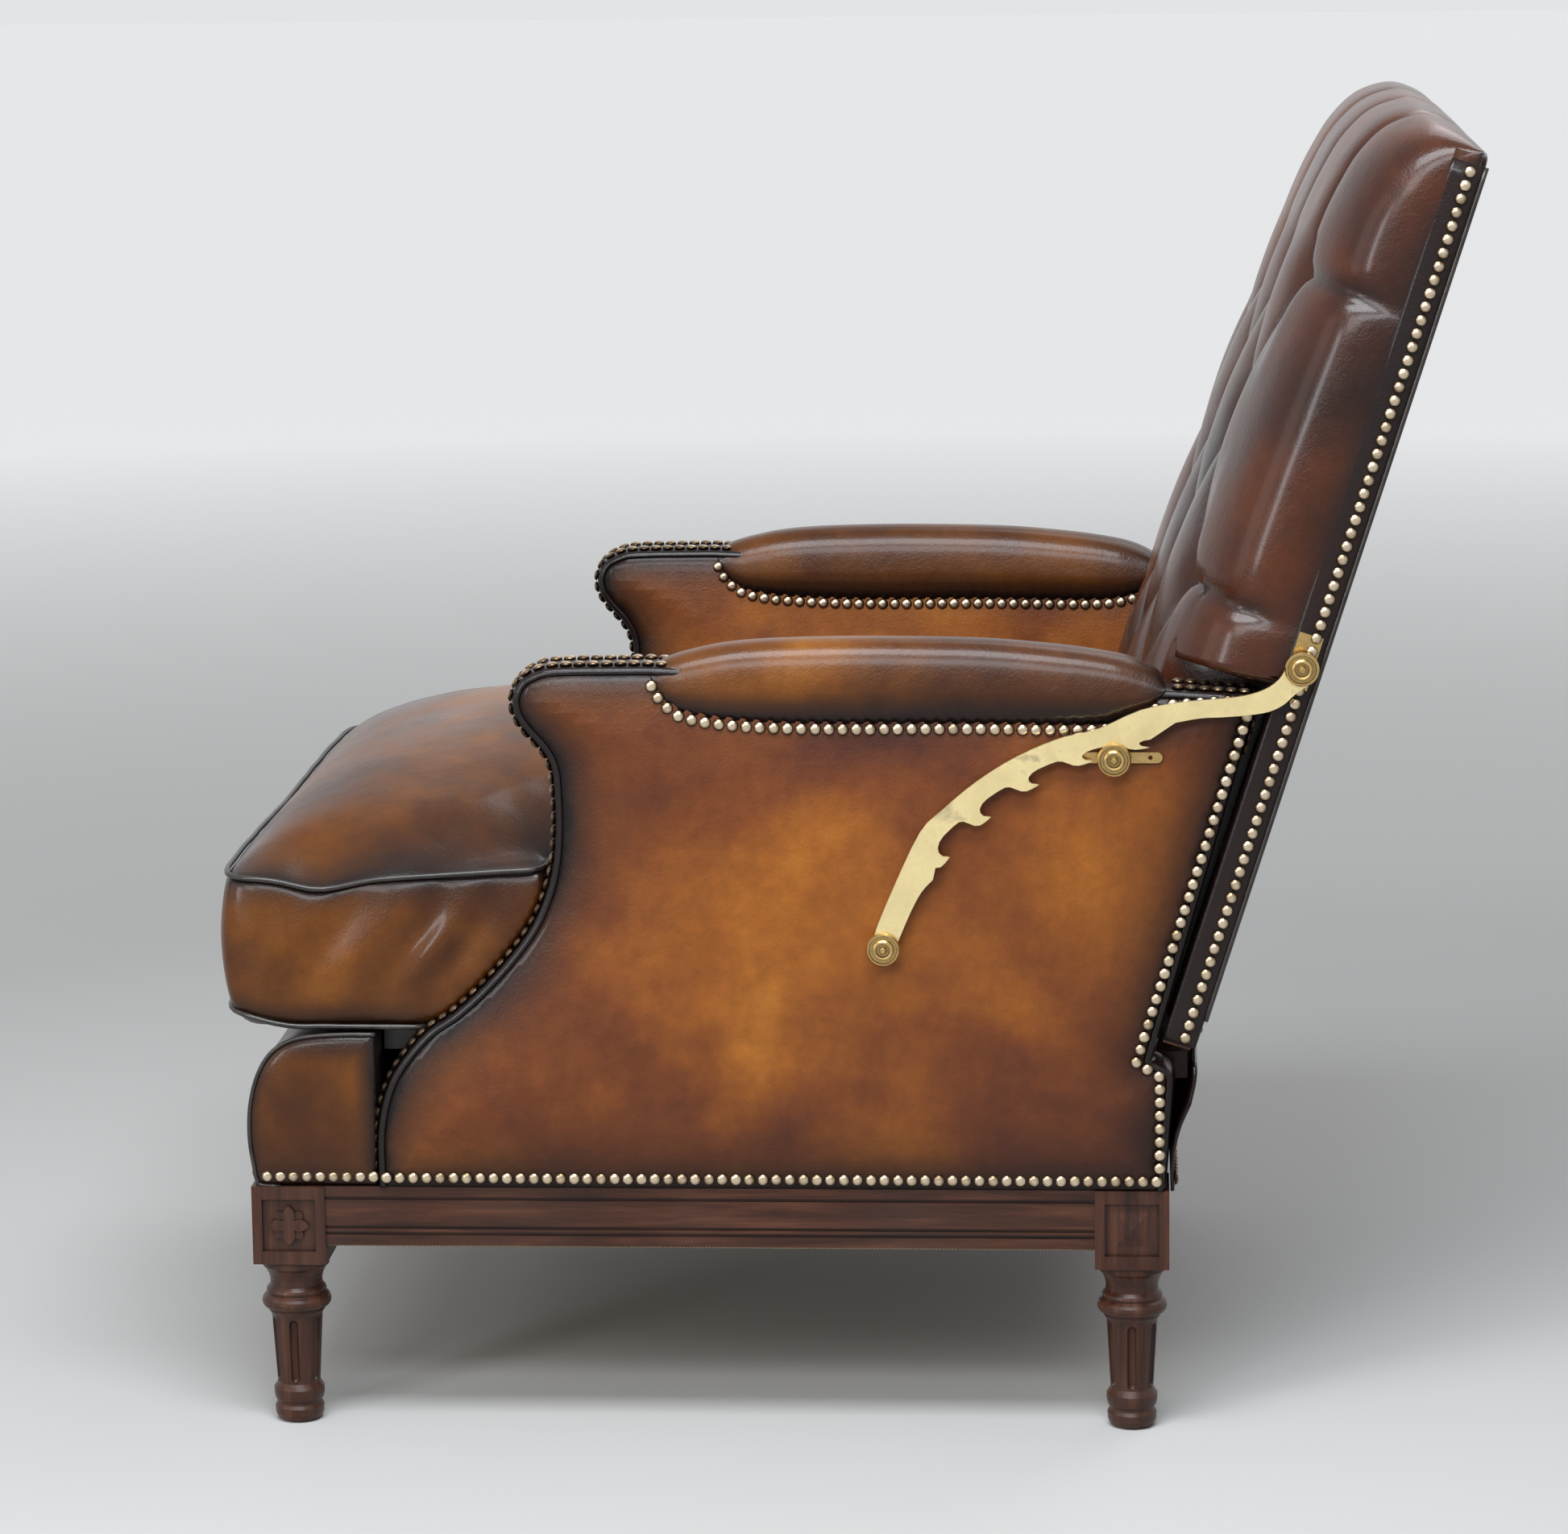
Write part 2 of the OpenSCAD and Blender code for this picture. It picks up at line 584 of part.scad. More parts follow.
// Webbing woven under the rails, with springs and the deck above it
module seat_webbing() {
    x0 = frame_w / 2 - block_w - web_w / 2;
    y0 = -front_leg_y + block_w / 2 + web_w / 2;
    y1 = rear_leg_y - block_w / 2 - web_w / 2;
    reach = block_w + web_w / 2 - rail_setback - rail_t / 2;
    color(hessian) translate([0, 0, rail_bottom - web_t]) {
        for (k = [0:web_count - 1])
            translate([-x0 + 2 * x0 * k / (web_count - 1) - web_w / 2, y0 - reach, 0])
                cube([web_w, y1 - y0 + 2 * reach, web_t]);
        for (k = [0:web_count - 1])
            translate([-x0 - reach, y0 + (y1 - y0) * k / (web_count - 1) - web_w / 2, 0])
                cube([2 * (x0 + reach), web_w, web_t]);
    }
}

module dust_cover() {
    x0 = rail_x - rail_t / 3;
    y0 = -front_leg_y + block_w / 2;
    y1 = rear_leg_y - block_w / 2;
    color(hessian) translate([-x0, y0, rail_bottom - web_t - dust_t]) cube([2 * x0, y1 - y0, dust_t]);
}

// A double cone of wire, widest at both ends, as one swept tube
function spring_point(t, z0, z1) =
    let(s = t / spring_turns, r = spring_r * (0.62 + 0.38 * pow(2 * s - 1, 2)))
    [r * cos(360 * t), r * sin(360 * t), z0 + (z1 - z0) * s];
function spring_ring(t, z0, z1, sides) =
    let(c = spring_point(t, z0, z1), out = [cos(360 * t), sin(360 * t), 0])
    [for (k = [0:sides - 1]) c + wire_r * (cos(360 * k / sides) * out + sin(360 * k / sides) * [0, 0, 1])];

module seat_springs() {
    z0 = rail_bottom + wire_r + soft_gap;
    z1 = deck_top - deck_t - wire_r - soft_gap;
    steps = spring_turns * spring_ring_count;
    x0 = frame_w / 2 - block_w - spring_r * 2.2;
    y0 = -front_leg_y + block_w / 2 + spring_r * 1.9;
    y1 = rear_leg_y - block_w / 2 - spring_r * 1.9;
    color(steel) for (i = [0:spring_rows - 1]) for (j = [0:spring_rows - 1])
        translate([-x0 + 2 * x0 * i / (spring_rows - 1), y0 + (y1 - y0) * j / (spring_rows - 1), 0])
            skin([for (k = [0:steps]) spring_ring(k / spring_ring_count, z0, z1, 6)]);
}

module seat_deck() {
    half = arm_in_x - soft_gap;
    color(hessian) translate([-half, deck_front_y, deck_top - deck_t])
        cube([2 * half, hinge_rail_y - soft_gap - deck_front_y, deck_t]);
}

// The stuffed edge over the front rail, rounded at both ends
function roll_ring(x, s) =
    let(p = scaled(roll_shares, roll_d, roll_h), c = [roll_d / 2, roll_h / 2])
    [for (q = p) let(d = c + (q - c) * s) [x, -arm_front_y - roll_gap - d[0], rail_top + soft_gap + d[1]
        - (1 - s) * c[1] * 0.9]];
module seat_front_roll() {
    half = frame_w / 2 - rail_setback;
    ends = [[1, 0.9], [0.988, 0.975], [0.96, 1]];
    color(leather) skin(concat([for (e = ends) roll_ring(-half * e[0], e[1])],
        [for (i = [2:-1:0]) roll_ring(half * ends[i][0], ends[i][1])]));
}

// Front edge of an arm below its scroll, as depth at a height
neck_point_count = 10 * scroll_step_count;
function arm_front(z) = lookup(z, [for (k = [0:neck_point_count]) [arm_path[k][1], arm_path[k][0]]]);
seat_seam_z = cushion_bottom + cushion_edge - bottom_round * 0.2;
ear_foot_y = -cushion_front_y + ear_len;
ear_end_z = seat_seam_z - ear_end_h;
ear_end_y = arm_front(ear_end_z) - ear_gap;

// Right half of a ring of the seat cushion: flat under, drawn-in sides, crowned top. An ear overhangs
// the arm's front edge from the height of its ledge, and the crown draws in behind the ears.
function seat_half_ring(y, half, ledge, shrink) =
    let(wide = half > cushion_half,
        s = (y + cushion_front_y) / cushion_depth,
        crown = cushion_crown * lookup(s, crown_shares),
        seam = seat_seam_z - shrink / 2,
        reach = half - side_bulge - shrink,
        inner = cushion_half - shrink,
        low = max(ledge, cushion_bottom + bottom_round * 0.4 + shrink / 2),
        behind = max(0, min(1, (y - ear_foot_y) / (ear_end_y - ear_foot_y))),
        crown_reach = reach - (wide ? behind * (reach - cushion_half + side_bulge) : 0),
        on_floor = ledge <= cushion_bottom,
        foot = [[inner - bottom_round, y, cushion_bottom],
            on_floor ? [inner, y, cushion_bottom]
                : [inner - side_bulge, y, cushion_bottom + bottom_round * 0.4],
            [inner + (on_floor ? side_bulge / 2 : 0), y, ledge],
            wide ? [reach - (on_floor ? bottom_round : ear_lip), y, ledge] : [inner, y, ledge + ear_lip / 2]],
        from = wide ? low : ledge + ear_lip,
        side = [for (i = [0:len(side_shares) - 1]) let(q = side_shares[i])
            [reach + side_bulge * (wide || i > 2 ? q[0] : 1), y, from + (seam - from) * q[1]]],
        top = [for (k = [9:-1:1]) let(x = reach * k / 10)
            [x, y, seam + crown * (1 - pow(min(1, x / crown_reach), crown_power))]])
    concat(foot, side, top);
function seat_ring(y, half, ledge, shrink) =
    let(right = seat_half_ring(y, half, ledge, shrink))
    concat(right, [for (q = reversed(right)) [-q[0], q[1], q[2]]]);
module seat_cushion() {
    front = [for (q = front_shares)
        seat_ring(-cushion_front_y + q[0] * cushion_depth, ear_w / 2, cushion_bottom, q[1] * end_tuck)];
    foot = [seat_ring(ear_foot_y, ear_w / 2, cushion_bottom, 0),
        seat_ring(ear_foot_y + over, ear_w / 2, cushion_bottom + ear_foot_h, 0)];
    ear = [for (k = [0:ear_ring_count])
        let(z = cushion_bottom + ear_foot_h + (ear_end_z - cushion_bottom - ear_foot_h) * k / ear_ring_count)
        seat_ring(arm_front(z) - ear_gap, ear_w / 2, z, 0)];
    rear = concat([seat_ring(ear_end_y + over, cushion_half, ear_end_z, 0)], [for (q = rear_end_shares)
        seat_ring(-cushion_front_y + q[0] * cushion_depth, cushion_half, ear_end_z, q[1] * end_tuck)]);
    color(leather) skin(concat(front, foot, ear, rear));
}

// Each corner of a closed path replaced by a short arc of three points
function rounded(p, c) = [for (i = [0:len(p) - 1])
    let(to = p[(i + 1) % len(p)] - p[i], from = p[i] - p[(i + len(p) - 1) % len(p)],
        ahead = to / norm(to), behind = from / norm(from))
    each [p[i] - behind * c, p[i] + (ahead - behind) * c * (1 - sqrt(0.5)), p[i] + ahead * c]];

// Piping sewn round the seat cushion's edge, at one height, as one closed tube; ye is where it
// turns in behind the ears
piping_out = piping_r + piping_off;
module piping(z, ye) {
    out = piping_out;
    y0 = -cushion_front_y - out;
    y1 = -cushion_front_y + cushion_depth + out;
    ex = ear_w / 2 - side_bulge + out;
    bx = cushion_half - side_bulge + out;
    path = rounded([[-ex, y0], [ex, y0], [ex, ye], [bx, ye], [bx, y1], [-bx, y1], [-bx, ye], [-ex, ye]],
        piping_corner);
    n = len(path);
    points = [for (i = [0:n - 1])
        let(before = right_normal(path[(i + n - 1) % n], path[i]),
            after = right_normal(path[i], path[(i + 1) % n]),
            outward = (before + after) / (1 + before * after))
        for (k = [0:piping_side_count - 1])
            let(angle = 360 * k / piping_side_count, q = path[i] + outward * piping_r * cos(angle))
            [q[0], q[1], z + piping_r * sin(angle)]];
    faces = [for (i = [0:n - 1]) for (k = [0:piping_side_count - 1])
        let(i1 = (i + 1) % n, k1 = (k + 1) % piping_side_count,
            a = i * piping_side_count + k, b = i1 * piping_side_count + k,
            c = i1 * piping_side_count + k1, d = i * piping_side_count + k1)
        each [[a, c, b], [a, d, c]]];
    color(piping_black) polyhedron(points, faces, convexity = 4);
}

module piping_top() {
    z = cushion_bottom + cushion_edge;
    piping(z, arm_front(z - piping_r) - piping_r - piping_gap);
}

module piping_bottom() {
    piping(cushion_bottom + bottom_round * 0.4, ear_foot_y + piping_out);
}

// The stud that the strap's teeth catch: fixing plate on the arm, shank and turned knob
module turned_knob(r, h) {
    rotate([0, 90, 0]) rotate_extrude() polygon(scaled(knob_shares, r, h));
}

module stud_plate(side) {
    color(brass) on_side(side) translate([body_w / 2, stud_y, stud_z]) rotate([90, 0, 90])
        linear_extrude(plate_t) difference() {
            union() {
                square([2 * plate_len, plate_r], center = true);
                for (k = [-1, 1]) translate([k * plate_len, 0]) circle(plate_r / 2);
                circle(plate_r);
            }
            for (k = [-1, 1]) translate([k * plate_len * 0.85, 0]) circle(plate_screw_r);
        }
}

module stud(side) {
    color(brass) on_side(side) {
        translate([body_w / 2 + plate_t, stud_y, stud_z]) rotate([0, 90, 0])
            cylinder(strap_x + strap_t + run_gap - body_w / 2 - plate_t, r = shank_r);
        translate([strap_x + strap_t + run_gap, stud_y, stud_z]) turned_knob(knob_r, knob_h);
    }
}

module knuckle(x, len, r_in) {
    translate([x, hinge_y, hinge_z]) rotate([0, 90, 0]) difference() {
        cylinder(len, r = knuckle_r);
        translate([0, 0, -over]) cylinder(len + 2 * over, r = r_in);
    }
}

// Butt hinges: two outer knuckles on the seat, one middle knuckle on the back
module hinge_leaves_fixed() {
    third = leaf_w_x / 3;
    color(brass) for (side = [LEFT, RIGHT]) translate([side * hinge_x - leaf_w_x / 2, 0, 0]) {
        knuckle(0, third, pin_r);
        knuckle(2 * third, third, pin_r);
        difference() {
            for (k = [0, 2]) translate([k * third, leaf_y, hinge_z - leaf_h]) cube([third, leaf_t, leaf_h]);
            translate([-over, hinge_y, hinge_z]) rotate([0, 90, 0]) cylinder(leaf_w_x + 2 * over, r = pin_r);
        }
        translate([third, leaf_y, hinge_z - leaf_h]) cube([third, leaf_t, leaf_h - knuckle_r - leaf_t]);
    }
}

module hinge_pins() {
    color(steel) for (side = [LEFT, RIGHT])
        translate([side * hinge_x - leaf_w_x / 2 - pin_end, hinge_y, hinge_z]) rotate([0, 90, 0])
            cylinder(leaf_w_x + 2 * pin_end, r = pin_r);
}

module hinge_leaves_moving() {
    third = leaf_w_x / 3;
    middle = third - 2 * run_gap;
    u = leaf_y - hinge_y;
    foot = knuckle_r + leaf_t;
    color(brass) for (side = [LEFT, RIGHT]) translate([side * hinge_x - leaf_w_x / 2, 0, 0]) {
        knuckle(third + run_gap, middle, pin_r + pin_gap);
        difference() {
            on_back() translate([third + run_gap, u, 0]) cube([middle, leaf_t, leaf_h]);
            translate([-over, hinge_y, hinge_z]) rotate([0, 90, 0])
                cylinder(leaf_w_x + 2 * over, r = pin_r + pin_gap);
        }
        on_back() translate([0, u, foot]) cube([leaf_w_x, leaf_t, leaf_h - foot]);
    }
}

// Wooden frame of the back: two stiles and four rails
module back_frame() {
    half = back_w / 2;
    color(pale_wood) on_back() translate([0, frame_u, 0]) difference() {
        translate([-half, 0, frame_foot_w]) cube([back_w, back_frame_t, back_len - frame_foot_w]);
        inner = half - stile_w;
        bays = [frame_foot_w + stile_w, back_len * 0.22, back_len * 0.58, back_len - stile_w];
        for (k = [0:2]) translate([-inner, -over, bays[k] + (k > 0 ? stile_w : 0)])
            cube([2 * inner, back_frame_t + 2 * over, bays[k + 1] - bays[k] - (k > 0 ? stile_w : 0)]);
    }
}

// Depth of folds and dimples of the tufting at a place on the front: diamonds between the buttons,
// and straight pleats from the outer buttons to the sides and over the top
button_reach = 1.5 * button_dx;
function tuft(x, w) =
    let(xc = max(-button_reach, min(button_reach, x)), wc = min(w, button_top),
        a = 2 * xc / button_dx + 1, b = (wc - button_top) / button_dw,
        p = (a + b) / 2, q = (a - b) / 2,
        pillow = pow(abs(sin(180 * p) * sin(180 * q)), tuft_power),
        beyond = min(abs(x - xc), w - wc),
        f = max(pillow, 1 - exp(-beyond / dimple_r)),
        row = round(b), odd = abs(row % 2), col = 2 * round((a - odd) / 2) + odd,
        dx = (a - col) * button_dx / 2 + x - xc, dw = (b - row) * button_dw + w - wc)
    fold_d * (1 - f) + (dimple_d - fold_d) * exp(-(dx * dx + dw * dw) / (dimple_r * dimple_r));
function belly(w) = back_cushion_t * lookup(w / back_len, belly_shares);
function edge_round(x) =
    let(d = max(abs(x) - wing_half + wing_round, 0))
    wing_round - sqrt(max(wing_round * wing_round - d * d, 0));

// One upright section of the back cushion, as X, u and w: its upper part with the wings, whose foot
// slopes over the arms, or its lower part between the arms
function back_section(x, upper) =
    let(e = edge_round(x),
        front = [for (k = [-rows_down_count:rows_up_count]) let(w = button_top + k * row_step)
            [x, cushion_u - belly(w) + tuft(x, w) + e, w]],
        t = belly(button_top + rows_up_count * row_step),
        top = [for (q = roll_top_shares)
            [x, cushion_u - t * q[0] + e * q[0], back_len + top_roll * q[1] - e + (q[0] > 0 ? -1 : 0)
                * tuft(x, back_len) * 0.6]],
        rear = [[x, cushion_u, back_len + soft_gap], [x, cushion_u, cushion_foot_w]],
        low = [[x, cushion_u - belly(0) * 0.7, cushion_foot_w]],
        whole = concat(front, top, rear, low))
    [for (q = whole) let(foot = wing_foot_w + wing_slope * (q[1] - frame_u))
        [q[0], q[1], upper ? max(q[2], foot) : min(q[2], foot)]];

module back_part(half, upper) {
    step = button_dx / 6;
    n = floor(lower_half / step - 0.3);
    right = concat([for (k = [1:n]) k * step], half);
    xs = concat([for (x = reversed(right)) -x], [0], right);
    color(leather) on_back() skin([for (x = xs) back_section(x, upper)]);
}

module back_cushion() {
    back_part([lower_half, wing_half - wing_round, wing_half - wing_round * 0.3, wing_half], true);
}

module back_cushion_foot() {
    back_part([lower_half], false);
}

module back_buttons() {
    sphere_r = (button_r * button_r + button_h * button_h) / (2 * button_h);
    color(dark_leather) on_back() for (row = [0:3]) for (k = [-2:2]) {
        odd = 1 - row % 2;
        x = (k + odd / 2) * button_dx;
        w = button_top - row * button_dw;
        if (abs(x) < lower_half - button_r)
            translate([x, cushion_u - belly(w) + tuft(x, w) - button_h - soft_gap, w]) rotate([90, 0, 0])
                intersection() {
                    translate([0, 0, button_h - sphere_r]) sphere(sphere_r);
                    cylinder(button_h, r = button_r);
                }
    }
}

module back_outer_panel() {
    foot = leaf_h + frame_foot_w;
    color(dark_leather) on_back() translate([-back_w / 2, -hinge_proud - outside_t, foot])
        cube([back_w, outside_t, back_len - foot]);
}

// Mounting plate of a strap's pivot, screwed to the side of the back frame
module pivot_plate(side) {
    at = turned([pivot_back, pivot_rise], back_tilt);
    color(brass) on_side(side) on_back() translate([back_w / 2, at[0], at[1]]) difference() {
        union() {
            translate([0, -pivot_plate_w / 2, -pivot_plate_down])
                cube([plate_t, pivot_plate_w, pivot_plate_down + pivot_plate_up]);
            rotate([0, 90, 0]) cylinder(strap_x - run_gap - back_w / 2, r = boss_r);
        }
        translate([-over, 0, 0]) rotate([0, 90, 0]) cylinder(strap_x, r = pivot_r);
    }
}

module pivot_pin(side) {
    color(brass) on_side(side) {
        translate([back_w / 2, pivot_y, pivot_z]) rotate([0, 90, 0])
            cylinder(strap_x + strap_t + run_gap - back_w / 2, r = pivot_r);
        translate([strap_x + strap_t + run_gap, pivot_y, pivot_z]) turned_knob(knob_r, knob_h);
    }
}

// Teeth of the strap as it rests, lifted off the stud: tips follow the stud's way round the recline
// hinge, and the hollows between them follow it when the strap has dropped onto the stud
function arc_point(pitches, r) =
    let(angle = stud_angle + (pitches - rest_share) * tooth_pitch)
    [hinge_y + r * cos(angle) - pivot_y, hinge_z + r * sin(angle) - pivot_z];
function tooth_point(q, k) =
    let(tip = arc_point(k - 1 + q[0], tip_r))
    tip + (turned(tip, -drop_angle) - tip) * q[1];
toothed = [for (k = [tooth_count:-1:0])
    let(to = k == tooth_count ? last_tooth_point_count : len(tooth_shares) - 1,
        from = k == 0 ? first_tooth_point_count : 0)
    for (i = [to:-1:from]) tooth_point(tooth_shares[i], k)];
function end_point(q) = arc_point(tooth_count + q[0], stud_arc_r * q[1]);
crest = [for (i = [0:len(crest_shares) - 1])
    turned(arc_point(crest_shares[i] + rest_share, tip_r + band_w * crest_band_shares[i]), -drop_angle)];

module strap_outline() {
    polygon(concat(curve(concat(scaled(upper_shares, strap_len, strap_len), crest,
            [for (q = end_upper_shares) end_point(q)]), 3),
        curve([for (q = tail_shares) end_point(q)], 3), toothed,
        curve(scaled(neck_shares, strap_len, strap_len), 3)));
    circle(knob_r * 0.92);
    translate(end_point(end_knob_shares)) circle(end_pad_r);
}

module strap(side) {
    color(brass) on_side(side) translate([0, pivot_y, pivot_z]) slab(strap_x, strap_t) difference() {
        strap_outline();
        circle(pivot_r + pin_gap);
    }
}

module strap_knob(side) {
    e = end_point(end_knob_shares);
    color(brass) on_side(side) translate([strap_x + strap_t, pivot_y + e[0], pivot_z + e[1]])
        turned_knob(knob_r, knob_h);
}

leg(LEFT, true);  // front_leg_left
leg(RIGHT, true);  // front_leg_right
leg(LEFT, false);  // rear_leg_left
leg(RIGHT, false);  // rear_leg_right
side_rail(LEFT);  // side_rail_left
side_rail(RIGHT);  // side_rail_right
cross_rail(front_face_y + rail_setback, true);  // front_rail
cross_rail(rear_face_y - rail_setback, false);  // back_rail
corner_blocks();
corner_screws();
arm_frame(LEFT);  // arm_frame_left
arm_frame(RIGHT);  // arm_frame_right
arm_cover(LEFT, body_w / 2 - cover_t);  // arm_outer_panel_left
arm_cover(RIGHT, body_w / 2 - cover_t);  // arm_outer_panel_right
arm_cover(LEFT, arm_in_x);  // arm_inner_panel_left
arm_cover(RIGHT, arm_in_x);  // arm_inner_panel_right
arm_facing(LEFT);  // arm_facing_left
arm_facing(RIGHT);  // arm_facing_right
arm_pad(LEFT);  // arm_pad_left
arm_pad(RIGHT);  // arm_pad_right
hinge_rail();
rear_panel();
dust_cover();
seat_webbing();
seat_springs();
seat_deck();
seat_front_roll();
seat_cushion();
piping_top();
piping_bottom();
stud_plate(LEFT);  // stud_plate_left
stud_plate(RIGHT);  // stud_plate_right
stud(LEFT);  // stud_left
stud(RIGHT);  // stud_right
hinge_leaves_fixed();
hinge_pins();
hinge_leaves_moving();
back_frame();
back_cushion();
back_cushion_foot();
back_outer_panel();
back_buttons();
pivot_plate(LEFT);  // pivot_plate_left
pivot_plate(RIGHT);  // pivot_plate_right
pivot_pin(LEFT);  // pivot_pin_left
pivot_pin(RIGHT);  // pivot_pin_right
strap(LEFT);  // strap_left
strap(RIGHT);  // strap_right
strap_knob(LEFT);  // strap_knob_left
strap_knob(RIGHT);  // strap_knob_right
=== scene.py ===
# A reclining leather club armchair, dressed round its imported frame.
# Lengths are metres. X runs to the sitter's left, Y to the rear, Z up.
import json
import math

import bpy
import numpy as np
from mathutils import Matrix, Vector
from mathutils.geometry import delaunay_2d_cdt


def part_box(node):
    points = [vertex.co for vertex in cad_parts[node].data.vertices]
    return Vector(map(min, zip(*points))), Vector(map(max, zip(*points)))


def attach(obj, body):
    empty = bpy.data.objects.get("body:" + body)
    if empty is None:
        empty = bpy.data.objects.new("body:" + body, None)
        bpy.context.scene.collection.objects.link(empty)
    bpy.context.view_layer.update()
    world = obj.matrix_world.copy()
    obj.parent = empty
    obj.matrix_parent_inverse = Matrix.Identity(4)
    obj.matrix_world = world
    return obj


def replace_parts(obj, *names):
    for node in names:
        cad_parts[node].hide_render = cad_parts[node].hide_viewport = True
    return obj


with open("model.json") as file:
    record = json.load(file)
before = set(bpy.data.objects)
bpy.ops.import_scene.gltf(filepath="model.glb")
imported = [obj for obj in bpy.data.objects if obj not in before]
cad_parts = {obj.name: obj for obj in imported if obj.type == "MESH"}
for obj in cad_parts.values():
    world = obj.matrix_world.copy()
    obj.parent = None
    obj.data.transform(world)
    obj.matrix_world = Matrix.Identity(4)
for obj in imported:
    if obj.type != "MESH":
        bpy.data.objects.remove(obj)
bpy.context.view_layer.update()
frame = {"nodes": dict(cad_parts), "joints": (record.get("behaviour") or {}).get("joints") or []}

MM = 0.001
EPS = 1e-6
SIDES = {"left": 1, "right": -1}

# Places taken from the frame
recline = next(j for j in frame["joints"] if j["name"] == "recline")
HINGE_Y, HINGE_Z = recline["pos_m"][1], recline["pos_m"][2]
ARM_LOW, ARM_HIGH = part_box("arm_facing_left")
ARM_IN_X, ARM_OUT_X = ARM_LOW.x, ARM_HIGH.x
ARM_MID_X = (ARM_IN_X + ARM_OUT_X) / 2
ARM_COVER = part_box("arm_outer_panel_left")[1].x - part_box("arm_outer_panel_left")[0].x
STUD_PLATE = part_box("stud_plate_left")
RAIL_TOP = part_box("side_rail_left")[1].z
ROLL_LOW, ROLL_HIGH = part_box("seat_front_roll")
DECK_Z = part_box("seat_deck")[1].z
SEAT_LOW, SEAT_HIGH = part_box("seat_cushion")
BACK_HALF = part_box("back_frame")[1].x

# Nails: their spacing and size, their dome as shares of radius and height, and their rows
NAIL_PITCH = 10.05 * MM
NAIL_R = 4.7 * MM
NAIL_H = 3.1 * MM
NAIL_RINGS = ((1.0, 0.0), (0.97, 0.35), (0.80, 0.68), (0.52, 0.90), (0.22, 0.99))
NAIL_SIDES = 12
NAIL_ROW_Z = RAIL_TOP + 8 * MM


def smooth(t):
    """0 below 0, 1 above 1 and an even step between."""
    t = np.clip(t, 0, 1)
    return t * t * (3 - 2 * t)


def falloff(away, reach, power=1.0):
    """1 at no distance, and fading out over a reach."""
    return np.exp(-(away / reach) ** power)


def curve(points, steps):
    """A smooth curve through the points, with a number of steps between neighbours."""
    p = np.array(points, float)
    ext = np.vstack([2 * p[0] - p[1], p, 2 * p[-1] - p[-2]])
    out = []
    for i in range(len(p) - 1):
        a, b, c, d = ext[i:i + 4]
        for k in range(steps):
            t = k / steps
            out.append(0.5 * (2 * b + (c - a) * t + (2 * a - 5 * b + 4 * c - d) * t ** 2
                              + (3 * b - a - 3 * c + d) * t ** 3))
    out.append(p[-1])
    return np.array(out)


def lengths(points):
    """Running length along a path."""
    step = np.linalg.norm(np.diff(points, axis=0), axis=1)
    return np.concatenate([[0], np.cumsum(step)])


def even_lengths(run, step):
    """Running lengths at an even step, from the start of a path to its end."""
    return np.linspace(0, run[-1], max(1, round(run[-1] / step)) + 1)


def resampled(points, run, at):
    """The columns of a path, or of values along it, at new running lengths."""
    return np.stack([np.interp(at, run, column) for column in points.T], axis=1)


def spaced(points, step, closed=False):
    """The path again, with points at an even step."""
    p = np.array(points, float)
    if closed:
        p = np.vstack([p, p[:1]])
    run = lengths(p)
    out = resampled(p, run, even_lengths(run, step))
    return out[:-1] if closed else out


def value(table, x):
    """Straight interpolation in a list of pairs."""
    t = np.array(table, float)
    return np.interp(x, t[:, 0], t[:, 1])


def waves(points, scale, seed, octaves=3, count=5):
    """A smooth wandering value from -1 to 1 at each point: sine waves that cross, in octaves."""
    rng = np.random.default_rng(seed)
    total = np.zeros(len(points))
    for octave in range(octaves):
        for _ in range(count):
            direction = rng.normal(size=3)
            direction /= np.linalg.norm(direction)
            phase = rng.uniform(0, 2 * math.pi)
            total += np.sin(points @ direction * (2 ** octave) * 2 * math.pi / scale + phase) / 2 ** octave
    return total / (count * (2 - 0.5 ** (octaves - 1)))


class Nodes:
    """A shader's node tree: add() makes one node, sets its properties and feeds its sockets."""

    def __init__(self, data):
        self.data = data
        data.use_nodes = True
        self.tree = data.node_tree
        self.tree.nodes.clear()

    def put(self, socket, item):
        if isinstance(item, bpy.types.NodeSocket):
            self.tree.links.new(item, socket)
        else:
            socket.default_value = item

    def add(self, kind, feed=None, **props):
        node = self.tree.nodes.new("ShaderNode" + kind)
        for key, item in props.items():
            setattr(node, key, item)
        for key, item in (feed or {}).items():
            self.put(node.inputs[key], item)
        return node

    def math(self, operation, a, b=0.0, clamp=False):
        return self.add("Math", {0: a, 1: b}, operation=operation, use_clamp=clamp).outputs[0]

    def times(self, a, b):
        return self.math("MULTIPLY", a, b)

    def plus(self, a, b, clamp=False):
        return self.math("ADD", a, b, clamp)


